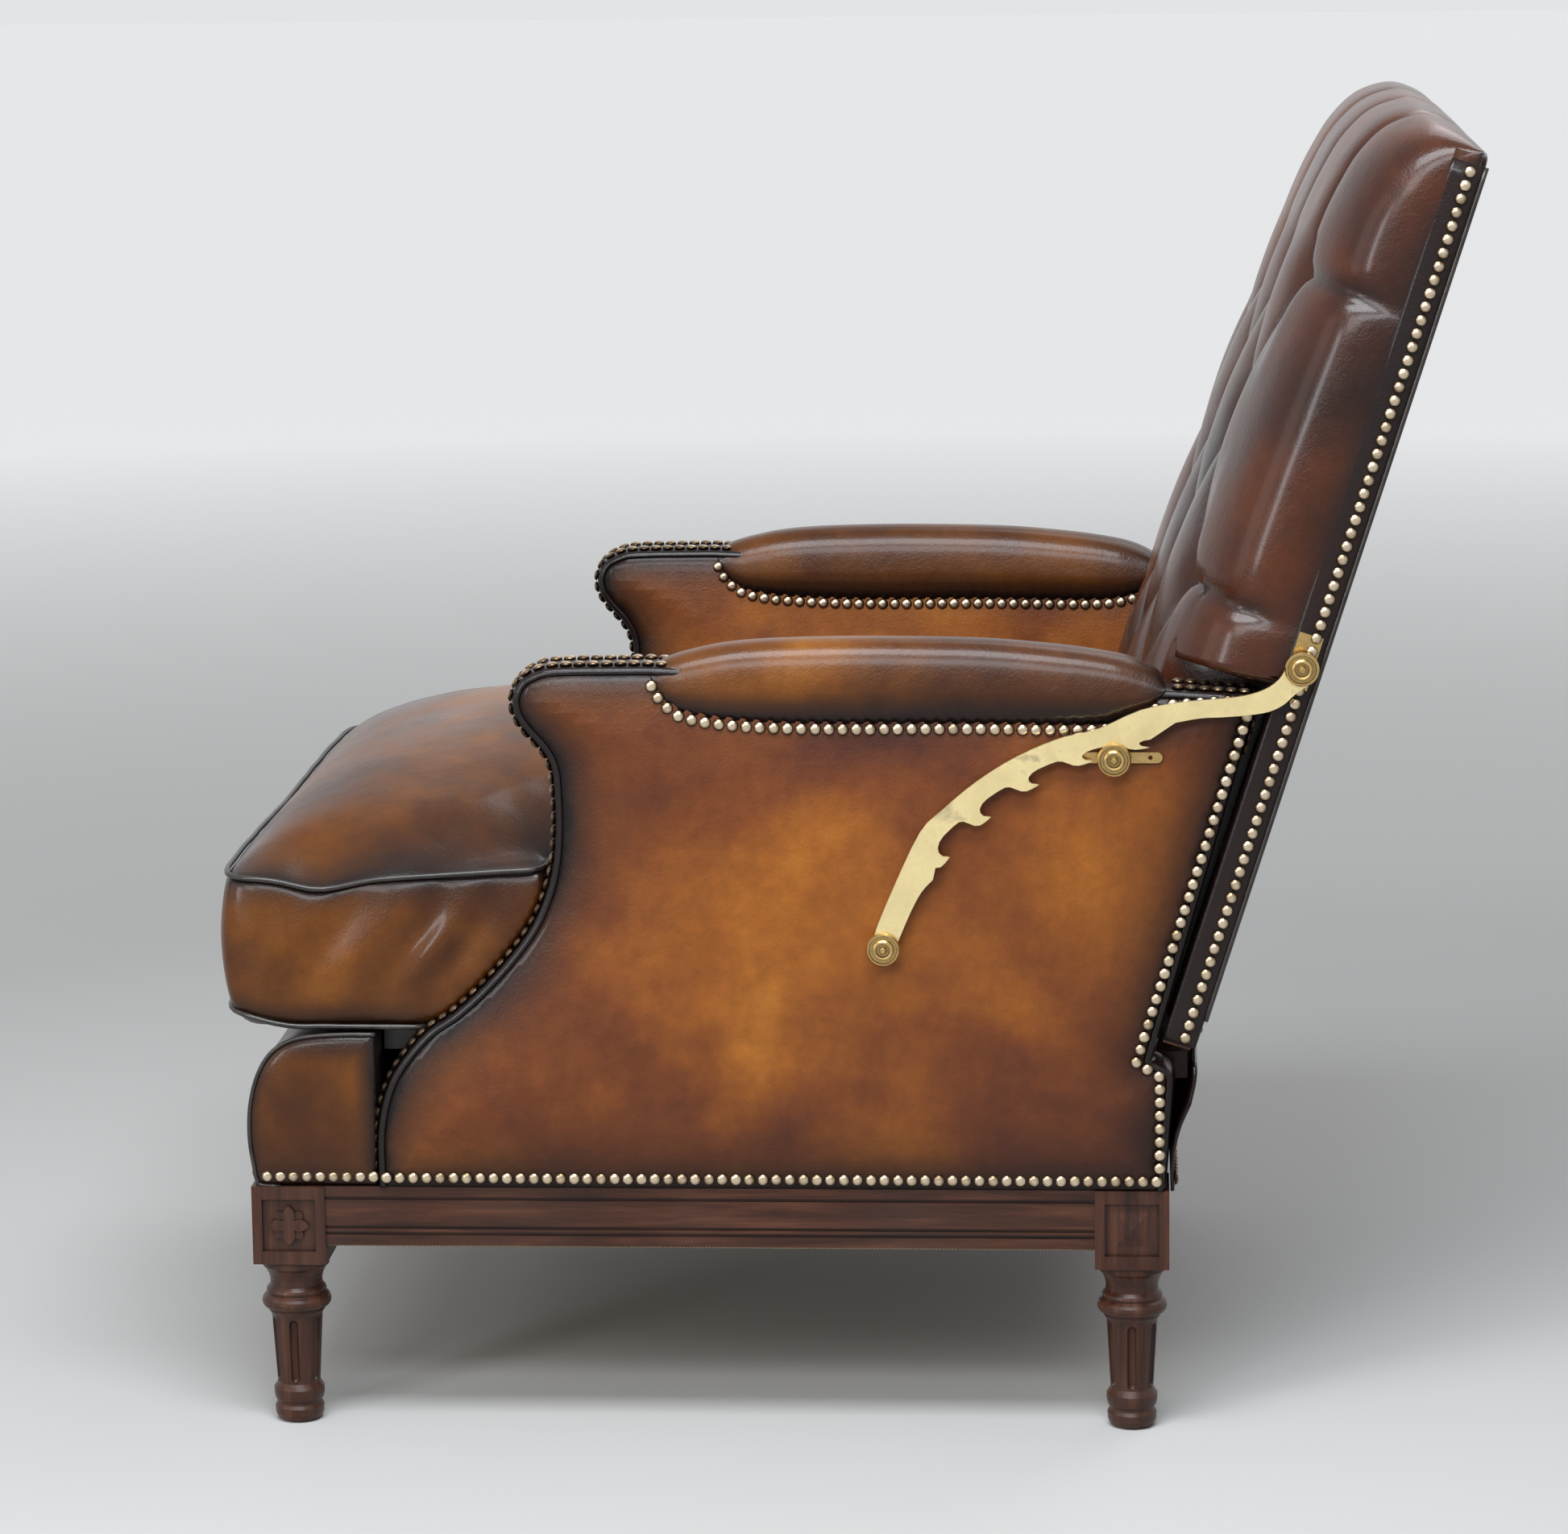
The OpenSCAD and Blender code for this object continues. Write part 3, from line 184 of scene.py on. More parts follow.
class Material(Nodes):
    """A material that is laid out in its object's own space."""

    def __init__(self, name):
        super().__init__(bpy.data.materials.new(name))
        self.where = self.add("TexCoord").outputs["Object"]

    def noise(self, scale, detail, roughness=0.55, distortion=0.0, stretch=None):
        place = self.where
        if stretch is not None:
            place = self.add("Mapping", {"Vector": self.where, "Scale": stretch}).outputs[0]
        feed = {"Vector": place, "Scale": scale, "Detail": detail, "Roughness": roughness,
                "Distortion": distortion}
        return self.add("TexNoise", feed).outputs[0]

    def attribute(self, name):
        return self.add("Attribute", attribute_name=name).outputs["Fac"]

    def recesses(self, reach):
        """1 on open surface and less where the piece shades itself."""
        return self.add("AmbientOcclusion", {"Distance": reach}, only_local=True, samples=8).outputs["AO"]

    def ramp(self, factor, stops):
        node = self.add("ValToRGB", {"Fac": factor})
        elements = node.color_ramp.elements
        while len(elements) < len(stops):
            elements.new(0.5)
        for element, (place, colour) in zip(elements, stops):
            element.position = place
            element.color = (*colour, 1) if hasattr(colour, "__len__") else (colour, colour, colour, 1)
        return node.outputs[0]

    def mix(self, factor, a, b, blend="MIX"):
        node = self.add("Mix", data_type="RGBA", blend_type=blend)
        for key, item in ((0, factor), (6, a), (7, b)):
            self.put(node.inputs[key], (*item, 1) if isinstance(item, tuple) else item)
        return node.outputs[2]

    def bump(self, height, distance, strength, below=None):
        feed = {"Height": height, "Distance": distance, "Strength": strength}
        if below is not None:
            feed["Normal"] = below
        return self.add("Bump", feed).outputs[0]

    def shade(self, feed):
        shader = self.add("BsdfPrincipled", feed)
        self.add("OutputMaterial", {"Surface": shader.outputs[0]})
        return self.data


# Tones of the leather from dark to light, and its burnished edges
CHESTNUT = ((0.056, 0.015, 0.008), (0.128, 0.034, 0.008), (0.235, 0.071, 0.009), (0.385, 0.145, 0.017))
RED_BROWN = ((0.014, 0.005, 0.003), (0.034, 0.009, 0.004), (0.070, 0.017, 0.004), (0.115, 0.031, 0.007))
AMBER = ((0.027, 0.008, 0.003), (0.062, 0.018, 0.003), (0.122, 0.037, 0.004), (0.225, 0.077, 0.006))
TONE_STOPS = (0.33, 0.45, 0.56, 0.69)
BURNT = (0.007, 0.004, 0.004)


def leather(name, tones, roughness, patch, gloss):
    """Hand-dyed leather: patches of tone, burnished dark where the mesh says burn, and a fine grain."""
    m = Material(name)
    big = m.noise(patch, 3, 0.6, 0.4)
    middle = m.noise(patch * 3.4, 5, 0.62, 0.2)
    blotch = m.plus(m.plus(m.times(big, 0.74), m.times(middle, 0.26)), m.attribute("warm"))
    tone = m.ramp(blotch, list(zip(TONE_STOPS, tones)))
    tone = m.mix(1.0, tone, m.ramp(m.noise(95.0, 3, 0.6), [(0.3, 0.86), (0.7, 1.06)]), "MULTIPLY")
    wander = m.times(m.math("SUBTRACT", middle, 0.5), 0.9)
    burn = m.plus(m.attribute("burn"), m.times(wander, m.attribute("soft")), clamp=True)
    colour = m.mix(m.ramp(burn, [(0.05, 0.0), (0.5, 0.62), (0.95, 1.0)]), tone, BURNT)
    rough = m.ramp(middle, [(0.3, roughness[0]), (0.7, roughness[1])])
    cells = m.add("TexVoronoi", {"Vector": m.where, "Scale": 620.0}, feature="SMOOTH_F1").outputs[0]
    pores = m.plus(m.times(cells, 0.6), m.times(m.noise(330.0, 3, 0.6), 0.7))
    normal = m.bump(pores, 0.35 * MM, 0.9)
    normal = m.bump(m.noise(44.0, 4, 0.6), 1.2 * MM, 0.6, normal)
    normal = m.bump(m.noise(11.0, 2, 0.5), 3.0 * MM, 0.42, normal)
    normal = m.bump(m.attribute("dome"), 16 * MM, 1.0, normal)
    return m.shade({"Base Color": colour, "Roughness": rough, "Normal": normal, "Coat Weight": gloss,
                    "Coat Roughness": 0.16, "Specular IOR Level": 0.15})


def wood(name, stretch):
    """Dark polished mahogany with its grain along one axis, and darker in its recesses."""
    m = Material(name)
    streak = m.noise(1.0, 6, 0.65, 0.3, stretch)
    tone = m.ramp(streak, [(0.3, (0.016, 0.005, 0.003)), (0.5, (0.044, 0.014, 0.007)),
                           (0.72, (0.095, 0.034, 0.016))])
    tone = m.mix(m.ramp(m.noise(7.0, 3, 0.5), [(0.4, 0.0), (0.7, 0.35)]), tone, (0.052, 0.032, 0.024))
    colour = m.mix(m.ramp(m.recesses(8 * MM), [(0.35, 0.75), (0.8, 0.0)]), tone, (0.005, 0.003, 0.002))
    rough = m.ramp(streak, [(0.3, 0.30), (0.7, 0.48)])
    return m.shade({"Base Color": colour, "Roughness": rough, "Normal": m.bump(streak, 0.25 * MM, 0.5),
                    "Coat Weight": 0.10, "Coat Roughness": 0.2, "Specular IOR Level": 0.22})


def brass(name, bright, dull, spots, roughness, recess_to):
    """Brass with grey age spots and dark recesses."""
    m = Material(name)
    patch = m.noise(26.0, 5, 0.65, 0.6)
    tone = m.mix(m.ramp(m.noise(240.0, 3, 0.6), [(0.35, 0.0), (0.75, 0.5)]), bright, dull)
    tone = m.mix(m.ramp(patch, [(spots, 0.0), (spots + 0.12, 0.72)]), tone, (0.23, 0.20, 0.15))
    colour = m.mix(m.ramp(m.recesses(recess_to), [(0.3, 0.9), (0.85, 0.0)]), tone, (0.10, 0.062, 0.022))
    rough = m.ramp(patch, [(0.35, roughness[0]), (0.7, roughness[1])])
    scratch = m.noise(1.0, 3, 0.6, 0.0, (700.0, 90.0, 700.0))
    return m.shade({"Base Color": colour, "Metallic": 1.0, "Roughness": rough,
                    "Normal": m.bump(scratch, 0.05 * MM, 0.35)})


def nail_metal():
    """Antique nail: dark bronze at the rim, with a painted highlight of pale brass on the crown."""
    m = Material("antique_nails")
    # The pale brass at the crown is a painted highlight on each nail; noise varies it at random
    painted_highlight_and_wear = m.plus(m.attribute("crown"), m.times(m.math("SUBTRACT", m.noise(75.0, 2), 0.5), 0.7), clamp=True)
    colour = m.ramp(painted_highlight_and_wear, [(0.30, (0.018, 0.011, 0.007)), (0.66, (0.16, 0.105, 0.055)),
                           (0.96, (0.62, 0.50, 0.36))])
    return m.shade({"Base Color": colour, "Metallic": 0.92, "Roughness": 0.26})


def plain(name, colour, dark, roughness, scale, metallic=0.0, stretch=None):
    """A simple material with a little variation of its tone."""
    m = Material(name)
    spread = m.noise(scale, 4, 0.6, 0.0, stretch)
    return m.shade({"Base Color": m.ramp(spread, [(0.35, dark), (0.65, colour)]), "Roughness": roughness,
                    "Metallic": metallic, "Normal": m.bump(spread, 0.2 * MM, 0.5)})


def jute():
    """Plain woven jute."""
    m = Material("woven_jute")
    warp, weft = (m.add("TexWave", {"Vector": m.where, "Scale": 130.0, "Distortion": 1.5},
                        bands_direction=axis).outputs[1] for axis in "XY")
    weave = m.times(warp, weft)
    return m.shade({"Base Color": m.ramp(weave, [(0.1, (0.16, 0.11, 0.06)), (0.8, (0.50, 0.39, 0.24))]),
                    "Roughness": 0.9, "Normal": m.bump(weave, 0.5 * MM, 0.8)})


MATERIALS = {
    "arm": leather("arm_leather", CHESTNUT, (0.34, 0.50), 3.6, 0.2),
    "seat": leather("seat_leather", AMBER, (0.28, 0.42), 4.2, 0.22),
    "dark": leather("dark_leather", RED_BROWN, (0.26, 0.38), 3.6, 0.28),
    "piping": plain("piping_leather", (0.030, 0.022, 0.018), (0.010, 0.008, 0.007), 0.3, 60.0),
    "wood_z": wood("mahogany_upright", (110.0, 110.0, 7.0)),
    "wood_y": wood("mahogany_along", (110.0, 7.0, 110.0)),
    "wood_x": wood("mahogany_across", (7.0, 110.0, 110.0)),
    "beech": plain("beech", (0.50, 0.34, 0.19), (0.38, 0.24, 0.12), 0.6, 1.0, stretch=(60.0, 60.0, 6.0)),
    "strap": brass("strap_brass", (0.93, 0.77, 0.41), (0.84, 0.66, 0.31), 0.60, (0.28, 0.42), 1.5 * MM),
    "knob": brass("knob_brass", (0.58, 0.40, 0.16), (0.36, 0.23, 0.08), 0.62, (0.20, 0.34), 4 * MM),
    "steel": plain("steel", (0.50, 0.49, 0.47), (0.30, 0.29, 0.28), 0.35, 90.0, 1.0),
    "iron": plain("black_iron", (0.045, 0.042, 0.040), (0.022, 0.020, 0.018), 0.45, 90.0, 0.8),
    "jute": jute(),
    "nails": nail_metal(),
}

# What the rigid pieces of the frame are made of, by the starts of their names
FRAME_LOOKS = {
    "wood_z": ("front_leg", "rear_leg"),
    "wood_y": ("side_rail",),
    "wood_x": ("front_rail", "back_rail", "hinge_rail", "back_frame"),
    "beech": ("corner_blocks", "arm_frame"),
    "steel": ("corner_screws", "seat_springs", "hinge_pins"),
    "jute": ("dust_cover", "seat_webbing"),
    "piping": ("seat_deck",),
    "knob": ("stud", "pivot", "strap_knob"),
    "strap": ("strap_left", "strap_right"),
    "iron": ("hinge_leaves",),
}

# The record's slot of the leather on each body
LEATHER_SLOTS = {"frame": "leather", "back": "back_leather"}


def carry_over():
    """The rigid pieces of the frame keep their shapes and get their materials."""
    for name, node in frame["nodes"].items():
        for material, starts in FRAME_LOOKS.items():
            if name.startswith(starts):
                node.data.materials.clear()
                node.data.materials.append(MATERIALS[material])


def placed(name, data):
    """An object of its data, linked to the scene."""
    made = bpy.data.objects.new(name, data)
    bpy.context.scene.collection.objects.link(made)
    return made


def mesh_piece(name, verts, faces, body, material, slot, **attributes):
    """A mesh object that rides on a body, with its material and its attributes; its record slot is not used.
    """
    mesh = bpy.data.meshes.new(name)
    mesh.from_pydata(np.array(verts, float).tolist(), [], [list(map(int, f)) for f in faces])
    mesh.validate()
    for key, values in attributes.items():
        values = np.array(np.broadcast_to(values, len(mesh.vertices)), np.float32)
        mesh.attributes.new(key, "FLOAT", "POINT").data.foreach_set("value", values)
    mesh.polygons.foreach_set("use_smooth", [True] * len(mesh.polygons))
    mesh.materials.append(MATERIALS[material])
    piece = placed(name, mesh)
    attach(piece, body)
    return piece


def hide(name, verts, faces, body, material, burn, soft, **more):
    """A leather piece, with how burnished it is and how far its patches of tone shift that."""
    return mesh_piece(name, verts, faces, body, material, LEATHER_SLOTS[body], burn=burn, soft=soft, **more)


def grid_faces(rows, columns, looped=False):
    """Quads over rows that join end to start, where looped also joins the last row to the first."""
    faces = []
    for i in range(rows if looped else rows - 1):
        for j in range(columns):
            here, ahead = i * columns, (i + 1) % rows * columns
            after = (j + 1) % columns
            faces.append((here + j, here + after, ahead + after, ahead + j))
    return faces


def kept_faces(kept):
    """Quads over the kept points of a grid, which are numbered in order."""
    number = np.cumsum(kept).reshape(kept.shape) - 1
    corners = ((0, 0), (0, 1), (1, 1), (1, 0))
    return [tuple(number[i + a, j + b] for a, b in corners)
            for i in range(kept.shape[0] - 1) for j in range(kept.shape[1] - 1)
            if all(kept[i + a, j + b] for a, b in corners)]


def open_edges(faces):
    """The edges that one face has alone, in the order and direction of the faces."""
    edges = dict.fromkeys((a, b) for f in faces for a, b in zip(f, f[1:] + f[:1]))
    return [(a, b) for a, b in edges if (b, a) not in edges]


def outward(verts, faces):
    """The faces turned so that the closed body has a positive volume."""
    verts = np.array(verts, float)
    volume = 0.0
    for f in faces:
        for k in range(1, len(f) - 1):
            volume += np.dot(verts[f[0]], np.cross(verts[f[k]], verts[f[k + 1]]))
    return faces if volume > 0 else [tuple(reversed(f)) for f in faces]


def loft(rings):
    """Points and faces of a closed body through equal rings."""
    rings = np.array(rings, float)
    m, n = rings.shape[:2]
    verts = rings.reshape(-1, 3)
    faces = grid_faces(m, n) + [tuple(range(n))[::-1], tuple(range((m - 1) * n, m * n))]
    return verts, outward(verts, faces)


def circle(centre, side, up, radius, count):
    """Points round a centre, in the plane of two unit vectors."""
    return [centre + radius * (math.cos(a) * side + math.sin(a) * up)
            for a in np.linspace(0, 2 * math.pi, count, endpoint=False)]


def add_dome(verts, faces, centre, side, up, normal, rings, tip, count):
    """Adds a small dome to a mesh: rings of a radius and a height, a tip, and a flat foot."""
    first = len(verts)
    for radius, height in rings:
        verts += circle(centre + height * normal, side, up, radius, count)
    verts.append(centre + tip * normal)
    faces += [tuple(first + k for k in f) for f in grid_faces(len(rings), count)]
    top = len(verts) - 1
    last = top - count
    faces += [(last + k, last + (k + 1) % count, top) for k in range(count)]
    faces.append(tuple(first + k for k in reversed(range(count))))


def face_outline(node, x):
    """Y and Z along the outline of a node's flat face at one X, in order."""
    mesh = frame["nodes"][node].data
    co = np.array([v.co for v in mesh.vertices])
    keys = [(round(p[1], 5), round(p[2], 5)) for p in co]
    flat = [tuple(keys[i] for i in polygon.vertices) for polygon in mesh.polygons
            if np.abs(co[list(polygon.vertices), 0] - x).max() < 1e-5]
    step = dict(open_edges(flat))
    path = [next(iter(step))]
    while step[path[-1]] != path[0]:
        path.append(step[path[-1]])
    return np.array(path)


def inside(points, outline):
    """Whether each point lies in a closed outline."""
    x, y = points[:, 0], points[:, 1]
    result = np.zeros(len(points), bool)
    for (ax, ay), (bx, by) in zip(outline, np.roll(outline, -1, axis=0)):
        if ay != by:
            result ^= ((ay > y) != (by > y)) & (x < (bx - ax) * (y - ay) / (by - ay) + ax)
    return result


def distance(points, path):
    """Distance of each point from an open path."""
    best = np.full(len(points), np.inf)
    for a, b in zip(path[:-1], path[1:]):
        d = b - a
        t = np.clip((points - a) @ d / max(d @ d, 1e-12), 0, 1)
        best = np.minimum(best, np.linalg.norm(points - a - t[:, None] * d, axis=1))
    return best


def path_normals(path):
    """Normals to the left of a path in a plane."""
    d = np.gradient(path, axis=0)
    d /= np.linalg.norm(d, axis=1)[:, None]
    return np.stack([-d[:, 1], d[:, 0]], axis=1)


def loop_normals(loop):
    """Normals to the right of a closed loop in a plane."""
    d = np.roll(loop, -1, axis=0) - np.roll(loop, 1, axis=0)
    return np.stack([d[:, 1], -d[:, 0]], axis=1) / np.linalg.norm(d, axis=1)[:, None]


def filled(outline, step):
    """Triangles over a closed outline, with a ring just inside it, and each point's distance from it."""
    rim, edge_step, row_share = 2.2 * MM, 5 * MM, 0.866
    edge = spaced(outline, min(step, edge_step), True)
    low, high = edge.min(0), edge.max(0)
    rows = np.arange(low[1], high[1], step * row_share)
    grid = np.array([(x + (i % 2) * step / 2, y) for i, y in enumerate(rows)
                     for x in np.arange(low[0], high[0], step)])
    loop = np.vstack([edge, edge[:1]])
    grid = grid[inside(grid, edge)]
    grid = grid[distance(grid, loop) > step * 0.7]
    ring = edge + loop_normals(edge) * rim
    if not inside(ring[:1], edge)[0]:
        ring = edge - loop_normals(edge) * rim
    ring = ring[inside(ring, edge)]
    ring = ring[distance(ring, loop) > rim * 0.8]
    points = [Vector(p) for p in np.vstack([edge, ring, grid])]
    n = len(edge)
    made = delaunay_2d_cdt(points, [(i, (i + 1) % n) for i in range(n)], [], 1, 1e-7)
    verts = np.array([tuple(v) for v in made[0]])
    return verts, [tuple(f) for f in made[2]], distance(verts, loop)


def panel(name, outline, place, thickness, bulge, body, material, burn_width, step=9 * MM, dents=None,
          warm=None):
    """A padded leather panel over an outline: place() takes plane points and a height to space."""
    flat, triangles, away = filled(outline, step)
    height = thickness + bulge * (1 - falloff(away, 70 * MM)) - 0.45 * thickness * falloff(away, 1.6 * MM)
    if dents is not None:
        height = height + dents(flat)
    n = len(flat)
    verts = np.vstack([place(flat, height), place(flat, np.zeros(n))])
    faces = triangles + [tuple(n + i for i in reversed(f)) for f in triangles]
    faces += [(b, a, a + n, b + n) for a, b in open_edges(triangles)]
    burn = np.tile(falloff(away, burn_width, 1.25), 2)
    more = {"dome": np.tile(1 - falloff(away, 48 * MM), 2)}
    if warm is not None:
        more["warm"] = np.tile(warm(flat), 2)
    return hide(name, verts, outward(verts, faces), body, material, burn, 0.25 + 0.75 * burn, **more)


class Nails:
    """Nails gathered into one piece."""

    def __init__(self, name, body):
        self.name, self.body = name, body
        self.verts, self.faces, self.crown = [], [], []

    def add(self, place, normal):
        normal = normal / np.linalg.norm(normal)
        side = np.cross(normal, (0.31, 0.42, 0.85))
        side /= np.linalg.norm(side)
        rings = [(NAIL_R * r, NAIL_H * h) for r, h in NAIL_RINGS]
        up = np.cross(normal, side)
        add_dome(self.verts, self.faces, place, side, up, normal, rings, NAIL_H, NAIL_SIDES)
        self.crown += [h for _, h in NAIL_RINGS for _ in range(NAIL_SIDES)] + [1.0]

    def row(self, path, normal):
        """Nails along a path in space, with one normal or one for each point."""
        path = np.array(path, float)
        normals = np.broadcast_to(np.array(normal, float), path.shape)
        run = lengths(path)
        at = even_lengths(run, NAIL_PITCH)
        for place, n in zip(resampled(path, run, at), resampled(normals, run, at)):
            self.add(place, n)

    def finish(self):
        mesh_piece(self.name, self.verts, self.faces, self.body, "nails", "aged_brass", crown=self.crown)


TUBE_SIDES = 10


def tube(name, path, radius, body, closed=False):
    """A round tube of piping along a path, drawn by parallel rings."""
    p = np.array(path, float)
    d = np.roll(p, -1, axis=0) - np.roll(p, 1, axis=0) if closed else np.gradient(p, axis=0)
    d /= np.linalg.norm(d, axis=1)[:, None]
    up = np.array([0.0, 0.0, 1.0]) if abs(d[0][2]) < 0.9 else np.array([1.0, 0.0, 0.0])
    rings = []
    for q, t in zip(p, d):
        up = up - t * (up @ t)
        up /= np.linalg.norm(up)
        rings.append(circle(q, np.cross(t, up), up, radius, TUBE_SIDES))
    if closed:
        verts = np.reshape(rings, (-1, 3))
        faces = outward(verts, grid_faces(len(p), TUBE_SIDES, looped=True))
    else:
        verts, faces = loft(rings)
    return mesh_piece(name, verts, faces, body, "piping", "piping")


def at_x(x, flat):
    """Points of Y and Z in space, at one X or at one for each point."""
    return np.column_stack([np.full(len(flat), x), flat])


def arm_path():
    """The arm's edge, from its front foot over the scroll and the top to its rear foot."""
    loop = face_outline("arm_outer_panel_left", ARM_OUT_X)
    if np.sum(loop[:, 0] * (np.roll(loop[:, 1], -1) - np.roll(loop[:, 1], 1))) > 0:
        loop = loop[::-1]
    feet = [i for i, p in enumerate(loop) if p[1] < RAIL_TOP + 1 * MM]
    start = min(feet, key=lambda i: loop[i][0])
    return np.roll(loop, -start, axis=0)


ARM_LOOP = arm_path()

# Section of the band round an arm in mm: across the arm from inside, and its rise
BAND_SECTION = [(0, 0.2), (0.6, 2.2), (1.8, 3.5), (4, 4.3), (8, 4.9), (15, 5.3), (22, 5.4), (29, 5.3),
                (36, 4.9), (40, 4.3), (42.2, 3.5), (43.4, 2.2), (44, 0.2)]

# The arm pad along Y: heights of its nailed foot and of its crown, its half width in mm, and its stations
PAD_FRONT = -0.134
PAD_REAR = 0.2405
PAD_FOOT = [(PAD_FRONT, 0.571), (-0.132, 0.563), (-0.126, 0.555), (-0.119, 0.548), (-0.110, 0.543),
            (-0.100, 0.541), (-0.080, 0.538), (-0.021, 0.535), (0.096, 0.535), (0.176, 0.534),
            (0.206, 0.536), (0.226, 0.543), (0.238, 0.556), (PAD_REAR, 0.561)]
PAD_CROWN = [(PAD_FRONT, 0.5725), (-0.131, 0.578), (-0.126, 0.582), (-0.117, 0.5855), (-0.104, 0.589),
             (-0.082, 0.5935), (-0.049, 0.5965), (0.010, 0.598), (0.070, 0.5975), (0.115, 0.596),
             (0.160, 0.592), (0.190, 0.588), (0.214, 0.583), (0.232, 0.575), (0.238, 0.568),
             (PAD_REAR, 0.5625)]
PAD_HALF = [(PAD_FRONT, 22.6), (-0.126, 24.0), (-0.110, 26.0), (-0.085, 27.6), (-0.03, 28.4), (0.16, 28.4),
            (0.205, 27.0), (0.228, 25.0), (PAD_REAR, 22.6)]
PAD_AT = np.concatenate([[PAD_FRONT, -0.133, -0.1315], np.arange(-0.130, 0.2375, 2.5 * MM),
                         [0.2385, 0.2398, PAD_REAR]])
PAD_BASE = 22.5 * MM
PAD_ROLL = 2.5 * MM
PAD_FIRST_NAIL = -0.132

# Nails on an arm: distance of the facing's two rows from its middle, and how far along Y the rows go
FACING_ROW = 14 * MM
FACING_NAIL_RISE = 5.1 * MM
FRONT_ROWS_TO = -0.126
PAD_ROW_TO = 0.234
REAR_ROWS_FROM = 0.246
REAR_FACE_FROM = 0.2

# Where the arm's cover is lighter and darker: by how much, centre in Y and Z, and reach both ways
ARM_SPOTS = ((0.085, 0.07, 0.36, 0.20, 0.13), (0.06, -0.17, 0.34, 0.05, 0.12),
             (-0.075, -0.20, 0.235, 0.16, 0.05), (-0.07, 0.02, 0.53, 0.26, 0.05),
             (-0.05, 0.12, 0.20, 0.20, 0.03))


def side_place(side, x, outwards):
    """Places plane points of an arm's face in space, at a height over it."""
    return lambda flat, height: at_x(side * (x + outwards * height), flat)


def arm_dents(flat):
    """Slight undulation of the outer cover, pressed in under the stud's plate."""
    centre = np.array([(STUD_PLATE[0].y + STUD_PLATE[1].y) / 2, (STUD_PLATE[0].z + STUD_PLATE[1].z) / 2])
    away = np.linalg.norm((flat - centre) / np.array([46 * MM, 22 * MM]), axis=1)
    space = np.column_stack([flat, np.zeros(len(flat))])
    return 0.6 * MM * waves(space, 0.22, 3) - 1.6 * MM * np.exp(-away ** 2)


def arm_warmth(flat):
    """The cover is worn to amber in its middle, and darker towards the foot and under the pad."""
    return sum(share * np.exp(-((flat[:, 0] - y) / reach_y) ** 2 - ((flat[:, 1] - z) / reach_z) ** 2)
               for share, y, z, reach_y, reach_z in ARM_SPOTS)


def arm_facing(name, side):
    """The leather band round the edge of an arm."""
    across, rise = np.array(BAND_SECTION).T * MM
    path = spaced(ARM_LOOP, 5 * MM)
    rings = []
    for p, n in zip(path, path_normals(path)):
        ring = [(side * (ARM_IN_X + a), *(p + n * r)) for a, r in zip(across, rise)]
        rings.append(ring + [(side * x, *(p - n * MM)) for x in (ARM_OUT_X, ARM_IN_X)])
    burn = np.append(0.55 + 0.45 * np.abs(across / across[-1] * 2 - 1) ** 1.5, [1, 1])
    return hide(name, *loft(rings), "frame", "dark", np.tile(burn, len(rings)), 0.8)


def arm_pad(name, side):
    """The stuffed pad over an arm, gathered between its nails."""
    foot, crown, half = (value(t, PAD_AT) for t in (curve(PAD_FOOT, 4), curve(PAD_CROWN, 4), PAD_HALF))
    angles = np.linspace(0, math.pi, 41)
    reach = np.sign(np.cos(angles)) * np.abs(np.cos(angles)) ** 0.62
    lift = np.abs(np.sin(angles)) ** 0.78
    tuck = smooth(lift / 0.34)
    gather = 0.55 * MM * falloff(lift, 0.12, 2)
    rings, burn = [], []
    for y, f, c, w in zip(PAD_AT, foot, crown, half * MM):
        x = reach * w
        low = np.abs(x) > PAD_BASE
        pucker = gather * math.cos(2 * math.pi * (y - PAD_FIRST_NAIL) / NAIL_PITCH) * low
        tucked = np.where(low, PAD_BASE + (np.abs(x) - PAD_BASE) * tuck, np.abs(x))
        z = f + PAD_ROLL + (c - f - PAD_ROLL) * lift
        x = ARM_MID_X + np.sign(x) * (tucked + pucker)
        rings.append(np.column_stack([side * x, np.full(len(x), y), z]))
        ends = falloff(min(y - PAD_FRONT, PAD_REAR - y), 12 * MM)
        burn.append(np.maximum(falloff(lift, 0.30, 1.6), ends))
    pad = hide(name, *loft(rings), "frame", "seat", np.concatenate(burn), 0.5)
    return pad


